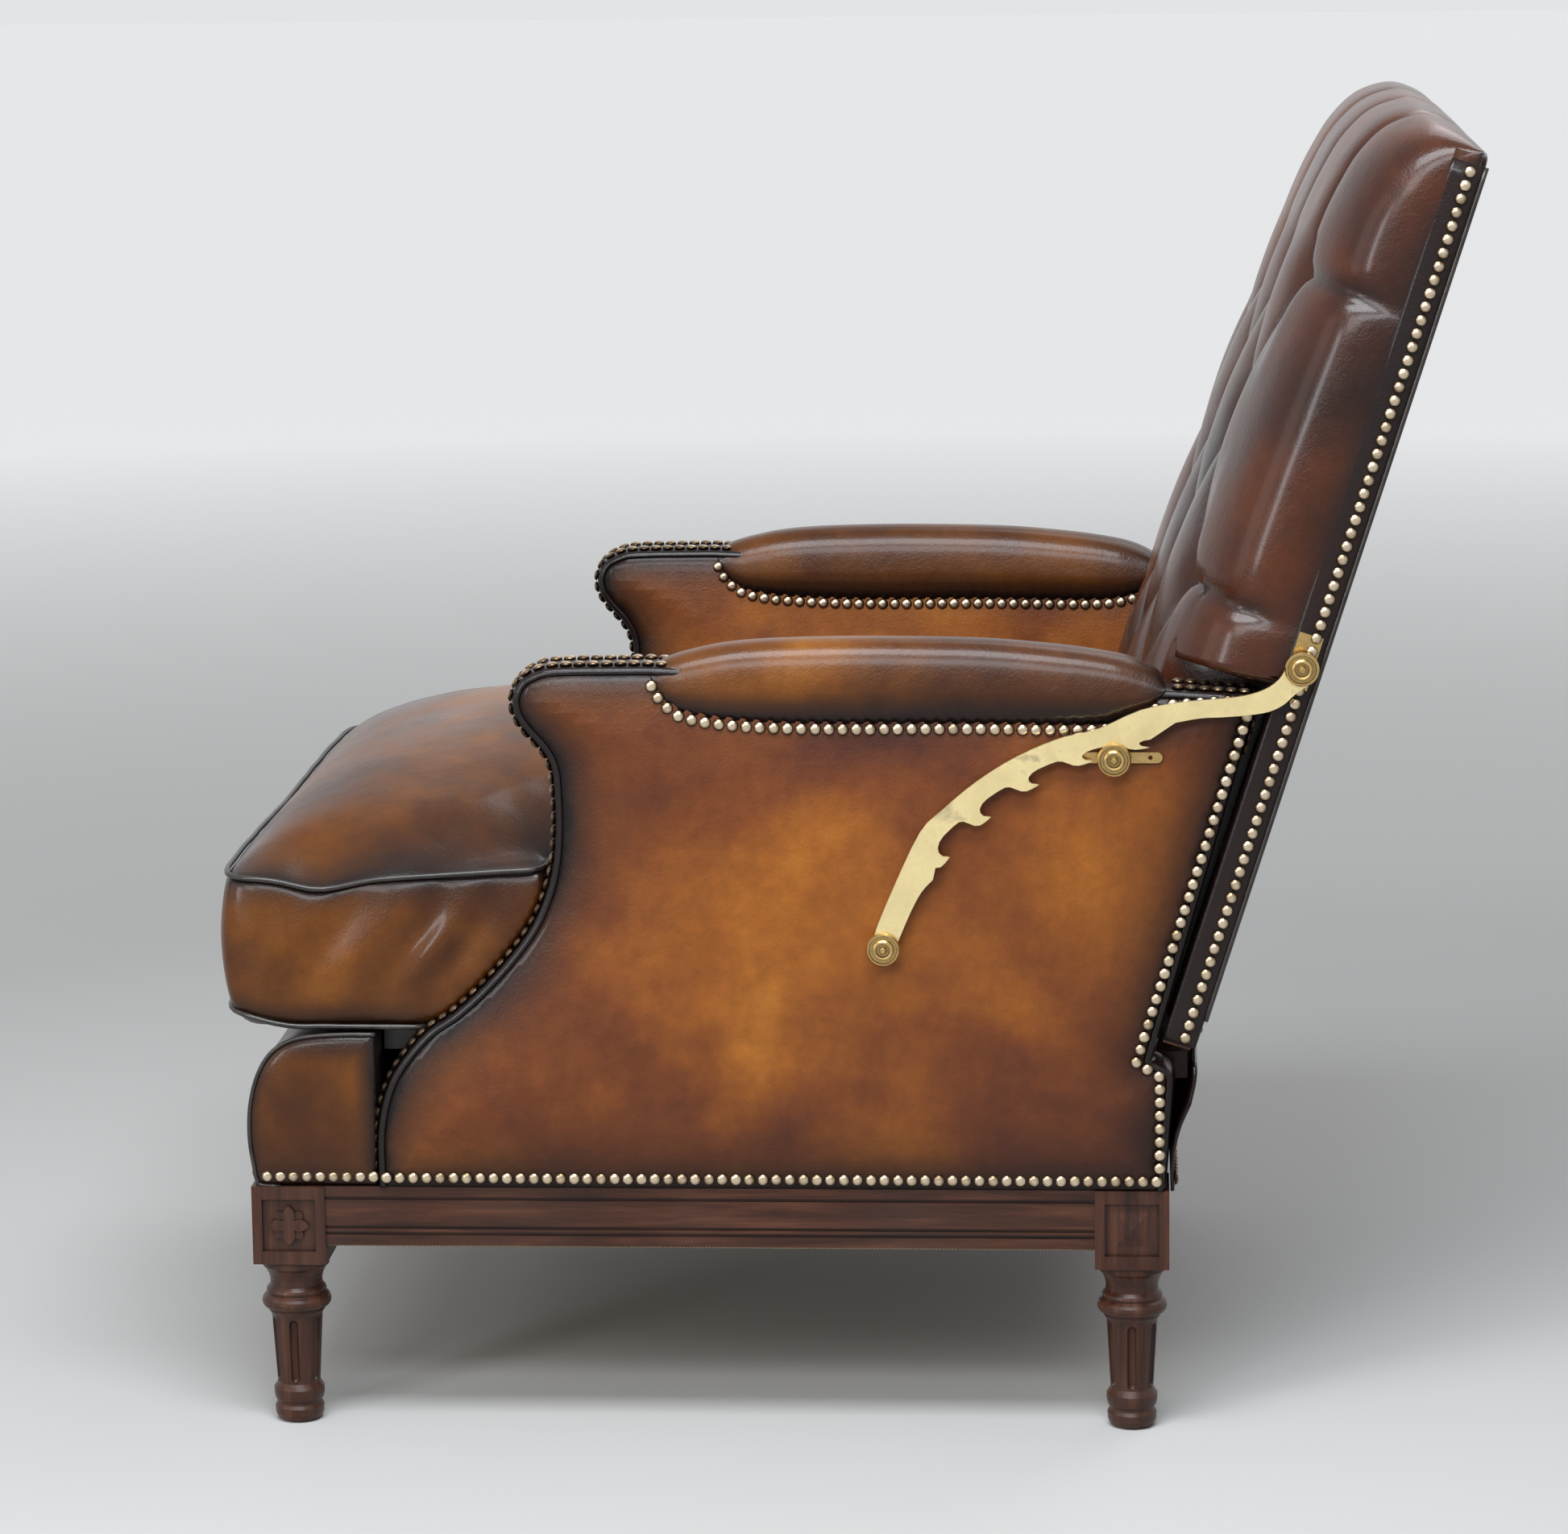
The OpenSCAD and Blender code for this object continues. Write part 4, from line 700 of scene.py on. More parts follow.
def arms(nails):
    """Both arms: panels, facings, pads and their nails."""
    edge = spaced(ARM_LOOP, 4 * MM)
    normals = path_normals(edge)
    # Two rows over the front and the scroll, and again behind the pad
    facing_rows = ((edge[:, 0] < FRONT_ROWS_TO) & (edge[:, 1] > RAIL_TOP + 16 * MM),
                   (edge[:, 0] > REAR_ROWS_FROM) & (edge[:, 1] > ARM_HIGH.z - 60 * MM))
    # One row along the foot of the pad on each face
    foot = curve(PAD_FOOT, 4)[2:]
    foot = foot[foot[:, 0] < PAD_ROW_TO] - (0, 1.5 * MM)
    # One row down the rear of the outer face
    rear = (ARM_LOOP - path_normals(ARM_LOOP) * 6.5 * MM)[ARM_LOOP[:, 0] > REAR_FACE_FROM]
    rear = rear[np.argsort(-rear[:, 1])]
    rear = rear[rear[:, 1] > NAIL_ROW_Z + 6 * MM]
    rear = np.vstack([rear, [rear[-1][0], NAIL_ROW_Z + NAIL_PITCH]])
    for word, side in SIDES.items():
        place = side_place(side, ARM_OUT_X - ARM_COVER, 1)
        cover = panel(f"arm_cover_outer_{word}", ARM_LOOP, place, ARM_COVER, 2.2 * MM, "frame", "arm",
                      26 * MM, dents=arm_dents, warm=arm_warmth)
        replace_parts(cover, f"arm_outer_panel_{word}")
        place = side_place(side, ARM_IN_X + ARM_COVER, -1)
        cover = panel(f"arm_cover_inner_{word}", ARM_LOOP, place, ARM_COVER, 1.4 * MM, "frame", "arm",
                      24 * MM)
        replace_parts(cover, f"arm_inner_panel_{word}")
        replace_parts(arm_facing(f"arm_band_{word}", side), f"arm_facing_{word}")
        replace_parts(arm_pad(f"arm_pad_stuffed_{word}", side), f"arm_pad_{word}")
        for keep in facing_rows:
            p, n = edge[keep], normals[keep]
            for x in (ARM_MID_X - FACING_ROW, ARM_MID_X + FACING_ROW):
                nails.row(at_x(side * x, p + n * FACING_NAIL_RISE), at_x(0, n))
        for x, out in ((ARM_OUT_X + 0.2 * MM, 1), (ARM_IN_X - 0.2 * MM, -1)):
            nails.row(at_x(side * x, foot), (side * out, 0, 0))
        nails.row(at_x(side * (ARM_OUT_X - 0.3 * MM), rear), (side, 0, 0))


# The roll over the front rail: its profile from the rear of its foot as shares of its depth and height,
# and its stuffed ends as shares of the profile, with their places beyond the roll's side in mm
ROLL_SHARES = [(0, 0), (0.5, 0.0), (0.90, 0.0), (0.955, 0.035), (0.975, 0.12), (1.0, 0.26), (1.005, 0.40),
               (0.99, 0.54), (0.95, 0.68), (0.88, 0.81), (0.78, 0.905), (0.64, 0.965), (0.46, 0.99),
               (0.24, 1.0), (0, 1.0)]
ROLL_END = [(1.0, -9.0), (0.998, -4.5), (0.982, -1.2), (0.955, 0.6), (0.90, 2.0), (0.80, 3.2), (0.62, 4.0),
            (0.38, 4.4), (0.12, 4.6)]


def front_roll():
    """The roll with a stuffed end on each side, piped along its edge."""
    depth, height = ROLL_HIGH.y - ROLL_LOW.y, ROLL_HIGH.z - ROLL_LOW.z
    profile = curve([(ROLL_HIGH.y - a * depth, ROLL_LOW.z + b * height) for a, b in ROLL_SHARES], 5)
    centre = np.array([(ROLL_HIGH.y + ROLL_LOW.y) / 2, (ROLL_HIGH.z + ROLL_LOW.z) / 2])
    stations = [(s, -(ROLL_HIGH.x + x * MM)) for s, x in reversed(ROLL_END)]
    stations += [(1.0, x) for x in np.arange(-0.30, 0.3001, 0.02)]
    stations += [(s, ROLL_HIGH.x + x * MM) for s, x in ROLL_END]
    rings, burn = [], []
    for s, x in stations:
        p = centre + (profile - centre) * s
        sag = 1.2 * MM * waves(at_x(x, p), 0.16, 9) * (s == 1.0)
        p = p + path_normals(profile) * sag[:, None]
        rings.append(at_x(x, p))
        edge = falloff(ROLL_HIGH.x - abs(x), 16 * MM, 2) if s == 1.0 else (s > 0.7) * s ** 9
        low = falloff(np.maximum(p[:, 1] - ROLL_LOW.z, 0), 16 * MM)
        top = 0.9 * smooth((p[:, 1] - (ROLL_HIGH.z - 26 * MM)) / (26 * MM))
        burn.append(np.clip(np.maximum(np.maximum(low, top), edge), 0, 1))
    roll = hide("front_roll", *loft(rings), "frame", "seat", np.concatenate(burn), 0.5)
    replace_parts(roll, "seat_front_roll")
    edge = centre + (profile[8:] - centre) * 1.006
    for word, side in SIDES.items():
        tube(f"roll_piping_{word}", at_x(side * (ROLL_HIGH.x - 1.5 * MM), edge), 1.7 * MM, "frame")


# The loose seat cushion: its seams and top, half widths of its body and over its ears, ends of its parts
# along Y, its crown, and the rows of points down its boxing
SEAM_LOW = (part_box("piping_bottom")[0].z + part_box("piping_bottom")[1].z) / 2
SEAM_TOP = (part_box("piping_top")[0].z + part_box("piping_top")[1].z) / 2 + 2 * MM
SEAT_TOP = 0.500
SEAT_BASE = 0.2775
SEAT_EAR = 0.3215
SEAT_FRONT, SEAT_REAR = SEAT_LOW.y + 2 * MM, SEAT_HIGH.y - 4 * MM
FRONT_ZONE = -0.40
EAR_BACK = -0.2185
EAR_TAPER = -0.34
EAR_SPACE = 9.6 * MM
SEAT_CROWN = 63 * MM
CROWN = [(0, 0.0), (0.012, 0.06), (0.035, 0.2), (0.08, 0.42), (0.14, 0.66), (0.2, 0.82), (0.27, 0.93),
         (0.36, 1), (0.5, 1), (0.64, 0.96), (0.78, 0.86), (0.88, 0.7), (0.95, 0.48), (0.985, 0.25), (1, 0.1)]
BOXING_ROWS = 11
BOXING_SWELL = 7 * MM
PIPING_R = 2.1 * MM

# Its cloth, and how it is blown up: frames, pressure and the furthest that a point may move
CLOTH = {"quality": 5, "mass": 0.35, "tension_stiffness": 22, "compression_stiffness": 22,
         "shear_stiffness": 8, "bending_stiffness": 0.6, "use_pressure": True}
BLOW_FRAMES, BLOW_PRESSURE, BLOW_CAP = 20, 4.0, 16 * MM

# Folds of the boxing beside the ears: height in mm, place along Y and width
FOLDS = ((4.6, -0.288, 0.008), (-5.0, -0.305, 0.008), (-4.2, -0.268, 0.008), (3.4, -0.335, 0.014),
         (-3.4, -0.372, 0.011), (3.0, -0.400, 0.012))

# The arm's front edge as pairs of Z and Y
ARM_FRONT = np.array(sorted((p[1], p[0]) for p in ARM_LOOP if p[0] < -0.15 and p[1] < 0.425))


def ear_lean(z):
    """How far the rear of an ear lies forward of its top, where it follows the arm's front edge."""
    return np.minimum(np.interp(z, ARM_FRONT[:, 0], ARM_FRONT[:, 1]) - EAR_SPACE - EAR_BACK, 0)


def lean_share(y):
    """How much of the lean a point takes: all at the ear's rear, and none far before and behind it."""
    return np.interp(y, [FRONT_ZONE, EAR_BACK, 0.0], [0, 1, 0])


def seat_seam(x, y):
    """Height of the top seam over its mean: it dips behind the front corners and rises to the arms."""
    dip = falloff(y + 0.381, 0.024, 2) * smooth((np.abs(x) - 0.24) / 0.06)
    rise = smooth((y + 0.36) / 0.15) * smooth((np.abs(x) - 0.2) / 0.06)
    middle = falloff(x, 0.2, 2) * smooth((FRONT_ZONE - y) / 0.05)
    return (7 * rise - 9 * dip - 5 * middle) * MM


def simulate(piece):
    """Blows the cloth up from inside and returns its points, each within a cap of where it was."""
    scene = bpy.context.scene
    rest = np.array([v.co for v in piece.data.vertices])
    cloth = piece.modifiers.new("cloth", "CLOTH")
    for key, item in CLOTH.items():
        setattr(cloth.settings, key, item)
    cloth.settings.uniform_pressure_force = BLOW_PRESSURE
    cloth.settings.effector_weights.gravity = 0
    cloth.point_cache.frame_start = 1
    cloth.point_cache.frame_end = BLOW_FRAMES
    for k in range(1, BLOW_FRAMES + 1):
        scene.frame_set(k)
    graph = bpy.context.evaluated_depsgraph_get()
    blown = np.array([v.co for v in piece.evaluated_get(graph).to_mesh().vertices])
    piece.modifiers.remove(cloth)
    scene.frame_set(1)
    move = blown - rest
    size = np.linalg.norm(move, axis=1)
    return rest + move * (np.minimum(size, BLOW_CAP) / np.maximum(size, 1e-9))[:, None]


def held_outline(rest, blown):
    """The blown cushion stretched back to the plan of its covers, as its piping would hold it."""
    co = blown.copy()
    x, y = rest[:, 0], rest[:, 1]
    front, rear = y < y.min() + 3 * MM, y > y.max() - 3 * MM
    ahead, behind = np.mean((y - blown[:, 1])[front]), np.mean((y - blown[:, 1])[rear])
    co[:, 1] += ahead * smooth((-0.20 - y) / 0.22) + behind * smooth((y - 0.02) / 0.13)
    ears = np.abs(x) > SEAT_EAR - 4 * MM
    sides = (np.abs(x) > SEAT_BASE - 2 * MM) & (y > EAR_BACK + 10 * MM)
    drawn = np.abs(x) - np.abs(blown[:, 0])
    share = smooth((y - (EAR_BACK - 20 * MM)) / (40 * MM))
    push = np.mean(drawn[ears]) * (1 - share) + np.mean(drawn[sides]) * share
    co[:, 0] += np.sign(x) * push * smooth((np.abs(x) - 0.12) / 0.15)
    return co


def seat_plan():
    """The plan of the covers: its points, its cells and the loop of points round it."""
    ear_columns = np.array([0, 14, 29]) * MM
    xs = np.concatenate([ear_columns - SEAT_EAR, np.linspace(-SEAT_BASE, SEAT_BASE, 57),
                         SEAT_EAR - ear_columns[::-1]])
    ys = np.concatenate([np.linspace(SEAT_FRONT, EAR_BACK, 25), np.linspace(EAR_BACK, SEAT_REAR, 40)[1:]])
    x, y = np.meshgrid(xs, ys)
    kept = (np.abs(x) <= SEAT_BASE + EPS) | (y <= EAR_BACK + EPS)
    cells = kept_faces(kept)
    rim = dict(open_edges(cells))
    loop = [next(iter(rim))]
    while rim[loop[-1]] != loop[0]:
        loop.append(rim[loop[-1]])
    flat = np.column_stack([x[kept], y[kept]])
    # Rounded front corners, and a front edge that draws back towards them
    plan = flat.copy()
    for corner in (SEAT_EAR, -SEAT_EAR):
        near = falloff(np.linalg.norm(flat - (corner, SEAT_FRONT), axis=1), 16 * MM, 2)[:, None]
        plan -= near * np.array([math.copysign(5 * MM, corner), -5 * MM])
    plan[:, 1] += 4 * MM * (plan[:, 0] / SEAT_EAR) ** 2 * smooth((FRONT_ZONE - plan[:, 1]) / 0.06)
    return plan, cells, loop


def seat_shell():
    """The cushion before it is blown up: points, faces, burnish, its rows of points and their normals."""
    plan, cells, loop = seat_plan()
    x, y = plan.T
    half = SEAT_EAR - (SEAT_EAR - SEAT_BASE) * smooth((y - EAR_TAPER) / (EAR_BACK - EAR_TAPER))
    along = value(CROWN, (y - SEAT_FRONT) / (SEAT_REAR - SEAT_FRONT))
    crown = SEAT_CROWN * along * np.clip(1 - (np.abs(x) / half) ** 2.8, 0, 1)
    top = np.column_stack([x, y, SEAM_TOP + seat_seam(x, y) + crown])
    seam = SEAM_LOW + 11 * MM * smooth((FRONT_ZONE - y) / 0.06) - 2 * MM
    bottom = np.column_stack([x, y, np.full(len(x), DECK_Z + 1.5 * MM)])
    bottom[loop, 2] = seam[loop]
    bottom[:, 1] += ear_lean(bottom[:, 2]) * lean_share(y)
    edge, out = plan[loop], loop_normals(plan[loop])
    shares = np.arange(1, BOXING_ROWS) / BOXING_ROWS
    boxing = []
    for t in shares:
        p = edge + out * BOXING_SWELL * math.sin(math.pi * t) ** 0.8
        z = top[loop, 2] * (1 - t) + bottom[loop, 2] * t
        p[:, 1] += ear_lean(z) * lean_share(p[:, 1])
        boxing.append(np.column_stack([p, z]))
    n, columns = len(plan), len(loop)
    rows = [loop] + [[2 * n + r * columns + k for k in range(columns)] for r in range(BOXING_ROWS - 1)]
    rows.append([n + a for a in loop])
    faces = cells + [tuple(n + i for i in reversed(c)) for c in cells]
    for upper, lower in zip(rows, rows[1:]):
        for k in range(columns):
            after = (k + 1) % columns
            faces.append((upper[after], upper[k], lower[k], lower[after]))
    away = distance(plan, np.vstack([edge, edge[:1]]))
    seam_burn = 0.9 * np.exp(-np.minimum(shares, 1 - shares) * 9)
    burn = np.concatenate([falloff(away, 26 * MM, 1.2), np.full(n, 0.8), np.repeat(seam_burn, columns)])
    points = np.vstack([top, bottom] + boxing)
    return points, outward(points, faces), burn, rows, out


def folded(co):
    """The cushion with folds and dents in the sides of its boxing."""
    co = co.copy()
    level = np.clip((co[:, 2] - SEAM_LOW) / (SEAM_TOP - SEAM_LOW), 0, 1)
    shape = np.sin(math.pi * level) ** 0.7 * (np.abs(co[:, 0]) > SEAT_EAR - 8 * MM)
    wander = co[:, 1] + 0.012 * np.sin(level * 5.5) + 0.02 * (1 - level)
    wander -= 0.006 * waves(co * (0.2, 1, 1), 0.09, 21)
    folds = sum(height * MM * falloff(wander - y, width, 2) for height, y, width in FOLDS)
    dents = 3.4 * MM * waves(co * (0.2, 1, 1), 0.085, 31)
    co[:, 0] += np.sign(co[:, 0]) * (folds + dents) * shape
    return co


def settled(co):
    """The cushion on its deck, with its crown at its height, and with its ears clear of the arms."""
    co[:, 2] = np.maximum(co[:, 2], DECK_Z + 1.0 * MM)
    high = co[:, 2] > SEAM_TOP
    co[high, 2] = SEAM_TOP + (co[high, 2] - SEAM_TOP) * (SEAT_TOP - SEAM_TOP) / (co[:, 2].max() - SEAM_TOP)
    clear_x, clear_y = ARM_IN_X - 3 * MM, EAR_BACK + ear_lean(co[:, 2]) + 2 * MM
    behind = (np.abs(co[:, 0]) > clear_x) & (co[:, 1] > clear_y)
    shallow = behind & (co[:, 1] < clear_y + 14 * MM)
    co[shallow, 1] = clear_y[shallow]
    deep = behind & ~shallow
    co[deep, 0] = np.sign(co[deep, 0]) * clear_x
    return co


def seat_cushion():
    """A feather cushion with ears in front of the arms: two T-shaped covers, a boxing and piping."""
    points, faces, burn, rows, out = seat_shell()
    soft = np.where(burn > 0.2, 0.9, 0.4)
    cushion = hide("seat_cushion_stuffed", points, faces, "frame", "seat", burn, soft)
    co = points
    co = held_outline(points, simulate(cushion))
    co = settled(folded(co))
    cushion.data.vertices.foreach_set("co", co.astype(np.float32).ravel())
    cushion.data.update()
    smoothing = cushion.modifiers.new("smooth", "SUBSURF")
    smoothing.levels = smoothing.render_levels = 1
    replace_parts(cushion, "seat_cushion")
    for row, node, lift in ((rows[0], "piping_top", 1), (rows[-1], "piping_bottom", -1)):
        path = co[row] + np.column_stack([out * 1.4 * MM, np.full(len(row), lift * 0.8 * MM)])
        for _ in range(2):
            path = (np.roll(path, 1, axis=0) + 2 * path + np.roll(path, -1, axis=0)) / 4
        path[:, 2] = np.maximum(path[:, 2], DECK_Z + PIPING_R + 0.3 * MM)
        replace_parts(tube(f"seat_{node}", path, PIPING_R, "frame", closed=True), node)


# The back in its own frame: u runs rearward from the hinge line, and w up along the back
BACK_TILT = math.radians(17.6)
SIDE_X = BACK_HALF + 1 * MM
CORE_U = -14 * MM
WING_FOOT = 288 * MM
WING_SLOPE = 110 * MM
LOWER_HALF = 281.2 * MM
SPLIT_ROW = 39
TOP_ROLL_FROM = 0.80
HEM_U = -28.5 * MM
HEM_TOP = 660 * MM

# Section through the middle of the back in mm, as u and w: from its foot over its top to its rear edge
MERIDIAN = [(-90, 14), (-98, 41), (-112, 82), (-124, 151), (-128.5, 226), (-124, 322), (-120, 425),
            (-114, 521), (-107, 600), (-101, 640), (-94, 664), (-80, 687), (-57, 702), (-34, 702),
            (-17, 695), (-9, 690)]

# Buttons: their spacing across and along the back, the top row, and their dome as shares of its size
BUTTON_ROWS = 4
BUTTON_DX = 150 * MM
BUTTON_DW = 120 * MM
BUTTON_TOP = 566 * MM
BUTTON_EDGE = 1.5 * BUTTON_DX
BUTTON_R = 9 * MM
BUTTON_RINGS = ((1.0, -0.25), (1.0, 0.15), (0.93, 0.45), (0.74, 0.75), (0.42, 0.95), (0.15, 1.0))
BUTTON_SIDES = 20

# Depths of the folds between buttons, of the pleats beyond them and of the dimples
FOLD_DEPTH = 14 * MM
PLEAT_DEPTH = 11 * MM
DIMPLE_DEPTH = 13 * MM

# Section of the leather over a side of the back's frame in mm: x beyond the frame, and u
SIDE_SECTION = [(-3, -28.4), (0.4, -28.4), (0.9, -26), (1.0, -16), (0.9, -8), (0.2, -4.2), (-3, -3.4)]
SIDE_FOOT, SIDE_HEAD = 6 * MM, 679 * MM


def back_space(x, u, w):
    """Points of the back's own frame in space."""
    c, s = math.cos(BACK_TILT), math.sin(BACK_TILT)
    return np.stack(np.broadcast_arrays(x, HINGE_Y + u * c + w * s, HINGE_Z - u * s + w * c), axis=-1)


def tuft(x, w):
    """Depth of the tufting, and how near a fold is: diamonds between buttons, pleats beyond them."""
    xc = np.clip(x, -BUTTON_EDGE, BUTTON_EDGE)
    wc = np.clip(w, BUTTON_TOP - (BUTTON_ROWS - 1) * BUTTON_DW, BUTTON_TOP)
    a, b = 2 * xc / BUTTON_DX + 1, (wc - BUTTON_TOP) / BUTTON_DW
    p, q = (a + b) / 2, (a - b) / 2
    pillow = np.abs(np.sin(math.pi * p) * np.sin(math.pi * q)) ** 0.42
    side_away = np.abs((wc - BUTTON_TOP + BUTTON_DW) % (2 * BUTTON_DW) - BUTTON_DW)
    side_away = np.where(w > BUTTON_TOP, w - BUTTON_TOP, side_away)
    top_away = np.abs((x + BUTTON_DX) % BUTTON_DX - BUTTON_DX / 2)
    top_away = np.where(np.abs(x) > BUTTON_EDGE, np.abs(x) - BUTTON_EDGE, top_away)
    beyond_x = smooth((np.abs(x) - BUTTON_EDGE) / (30 * MM))
    beyond_w = smooth((w - BUTTON_TOP) / (30 * MM))
    pleat = np.where(beyond_x * beyond_w > 0, np.minimum(side_away, top_away),
                     np.where(beyond_x > 0, side_away, top_away))
    beyond = np.maximum(beyond_x, beyond_w)
    full = pillow * (1 - beyond) + (1 - falloff(pleat, 8 * MM, 0.8)) * beyond
    # The nearest button of the lattice, if the back has it
    row = np.round(b)
    odd = np.abs(row % 2)
    column = 2 * np.round((a - odd) / 2) + odd
    dx = (a - column) * BUTTON_DX / 2 + x - xc
    dw = (b - row) * BUTTON_DW + w - wc
    real = np.abs(column - 1) * BUTTON_DX / 2 < BUTTON_EDGE + 1 * MM
    dimple = np.exp(-(dx ** 2 + dw ** 2) / (20 * MM) ** 2) * real
    depth = (FOLD_DEPTH * (1 - beyond) + PLEAT_DEPTH * beyond) * (1 - full) + DIMPLE_DEPTH * dimple
    return depth, np.clip(1 - full, 0, 1) ** 1.5


def back_form():
    """The back's cover before it is tufted, as rows of x, u and w.

    Also each row's place along the meridian and its w, each column's x and its fullness, and how far each
    row is on the top roll.
    """
    meridian = curve(np.array(MERIDIAN) * MM, 6)
    run = lengths(meridian)
    split = run[np.argmin(np.abs(meridian[:, 1] - WING_FOOT))]
    at = np.concatenate([np.linspace(0, split, SPLIT_ROW + 1)[:-1], np.linspace(split, run[-1], 92)])
    cu, cw = resampled(meridian, run, at).T
    cw = cw + (WING_FOOT - cw[SPLIT_ROW]) * falloff(at - split, 0.05, 2)
    top = smooth((at - run[-1] * TOP_ROLL_FROM) / (run[-1] * (1 - TOP_ROLL_FROM)))
    core_u = CORE_U + (cu[-1] - CORE_U) * top
    start = np.argmax(at > run[-1] * TOP_ROLL_FROM)
    core_w = np.where(at <= at[start], cw, np.interp(at, [at[start], run[-1]], [cw[start], cw[-1]]))
    phi = np.linspace(0, math.acos((LOWER_HALF / SIDE_X) ** 2), 17)[:-1]
    wide = SIDE_X * np.sqrt(np.cos(phi))
    xs = np.concatenate([-wide, np.linspace(-LOWER_HALF, LOWER_HALF, 91), wide[::-1]])
    full = np.clip(1 - (np.abs(xs) / SIDE_X) ** 4, 0, 1) ** 0.25
    full[:len(phi)] = np.sin(phi) ** 0.5
    full[-len(phi):] = full[:len(phi)][::-1]
    u = core_u[:, None] + (cu - core_u)[:, None] * full
    w = core_w[:, None] + (cw - core_w)[:, None] * full
    # The wings end in a slope over the arms
    foot = WING_FOOT + 0.2 * (u + 28 * MM)
    low = np.clip((w - WING_FOOT) / WING_SLOPE, 0, 1)
    sloped = np.where(w < WING_FOOT + WING_SLOPE, foot + (WING_FOOT + WING_SLOPE - foot) * low, w)
    w = np.where((np.abs(xs) > LOWER_HALF + EPS) & (w >= WING_FOOT - EPS), sloped, w)
    return np.stack(np.broadcast_arrays(xs, u, w), axis=-1), at, cw, xs, full, top


def back_cover():
    """The tufted front of the back with its sides and its top roll, and its lower part between the arms."""
    p, at, cw, xs, full, top = back_form()
    x, w = p[..., 0], p[..., 2]
    normal = np.cross(*np.gradient(p, axis=(0, 1)))
    normal /= np.maximum(np.linalg.norm(normal, axis=-1), 1e-9)[..., None]
    if normal[len(at) // 2, len(xs) // 2, 1] > 0:
        normal = -normal
    on_roll = (at > at[-1] * TOP_ROLL_FROM)[:, None]
    depth, crease = tuft(x, np.where(on_roll, np.maximum(w, BUTTON_TOP + 1 * MM), w))
    fade = (smooth(full / 0.5) * 0.85 + 0.15) * (1 - 0.6 * top[:, None])
    wave = 1.2 * MM * waves(p.reshape(-1, 3), 0.2, 5).reshape(w.shape)
    p = p - normal * ((depth + wave) * fade)[..., None]
    near_nails = np.exp(-(full * 6) ** 1.3)
    rear_edge = falloff(at[-1] - at, 12 * MM, 1.3)[:, None]
    burn = np.clip(np.maximum(np.maximum(near_nails, rear_edge), crease * 0.85 * fade), 0, 1)
    kept = (np.abs(xs) <= LOWER_HALF + EPS) | (np.arange(len(at)) >= SPLIT_ROW)[:, None]
    verts, burn, faces = p[kept], burn[kept], kept_faces(kept)
    # Its edge is turned back to the frame as a hem
    rim = open_edges(faces)
    turned = sorted({a for edge in rim for a in edge if verts[a][1] < HEM_U and verts[a][2] < HEM_TOP})
    behind = {a: len(verts) + i for i, a in enumerate(turned)}
    faces += [(b, a, behind[a], behind[b]) for a, b in rim if a in behind and b in behind]
    hem = verts[turned]
    hem[:, 1] = HEM_U
    space = back_space(*np.vstack([verts, hem]).T)
    a, b, c = space[list(faces[len(faces) // 2][:3])]
    if np.cross(b - a, c - a)[1] > 0:
        faces = [tuple(reversed(f)) for f in faces]
    burn = np.append(burn, np.ones(len(hem)))
    cover = hide("back_tufted", space, faces, "back", "dark", burn, 0.35)
    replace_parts(cover, "back_cushion", "back_cushion_foot")
    return p, normal, xs, cw


def back_buttons(p, normal, xs, cw):
    """Leather buttons in the dimples."""
    verts, faces, burn = [], [], []
    rings = [(BUTTON_R * r, (h * 6 - 1) * MM) for r, h in BUTTON_RINGS]
    for row in range(BUTTON_ROWS):
        count = 4 - row % 2
        i = np.argmin(np.abs(cw[:120] - (BUTTON_TOP - row * BUTTON_DW)))
        for x in (np.arange(count) - (count - 1) / 2) * BUTTON_DX:
            j = np.argmin(np.abs(xs - x))
            centre = back_space(*p[i, j])
            n = back_space(*(p[i, j] + normal[i, j])) - centre
            side = np.cross(n, (0, 0, 1.0))
            side /= np.linalg.norm(side)
            add_dome(verts, faces, centre, side, np.cross(side, n), n, rings, 5.2 * MM, BUTTON_SIDES)
            burn += [0.9 if h < 0.4 else 0.25 for _, h in BUTTON_RINGS for _ in range(BUTTON_SIDES)] + [0.2]
    made = hide("tufting_buttons", verts, faces, "back", "dark", burn, 0.3)
    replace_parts(made, "back_buttons")


def back_sides(nails):
    """Leather over the sides of the back's frame, the outside back with its welt, and their nails."""
    beyond, depth = np.array(SIDE_SECTION).T * MM
    for word, side in SIDES.items():
        x = side * (BACK_HALF + beyond)
        rings = [back_space(x, depth, w) for w in np.linspace(SIDE_FOOT, SIDE_HEAD, 60)]
        hide(f"back_side_band_{word}", *loft(rings), "back", "dark", 0.85, 0.6)
        heights = np.linspace(SIDE_HEAD - 6 * MM, SIDE_FOOT + 6 * MM, 40)
        nails.row(back_space(side * (BACK_HALF + 1.0 * MM), -13.5 * MM, heights), (side, 0, 0))
        welt = back_space(side * (BACK_HALF - 1.2 * MM), -3.0 * MM, np.linspace(28 * MM, SIDE_HEAD, 60))
        tube(f"back_welt_{word}", welt, 2.0 * MM, "back")
    low, high, corner = 31 * MM, 688 * MM, 16 * MM
    turn = np.linspace(0, math.pi / 2, 7)
    arc = np.column_stack([BACK_HALF - corner * (1 - np.cos(turn)), high - corner * (1 - np.sin(turn))])
    outline = np.vstack([[(-BACK_HALF, low), (BACK_HALF, low)], arc, arc[::-1] * (-1, 1)])

    def place(flat, height):
        return back_space(flat[:, 0], -7 * MM + height, flat[:, 1])
    outside = panel("back_outside", outline, place, 4 * MM, 3.0 * MM, "back", "dark", 20 * MM, step=14 * MM)
    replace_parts(outside, "back_outer_panel")


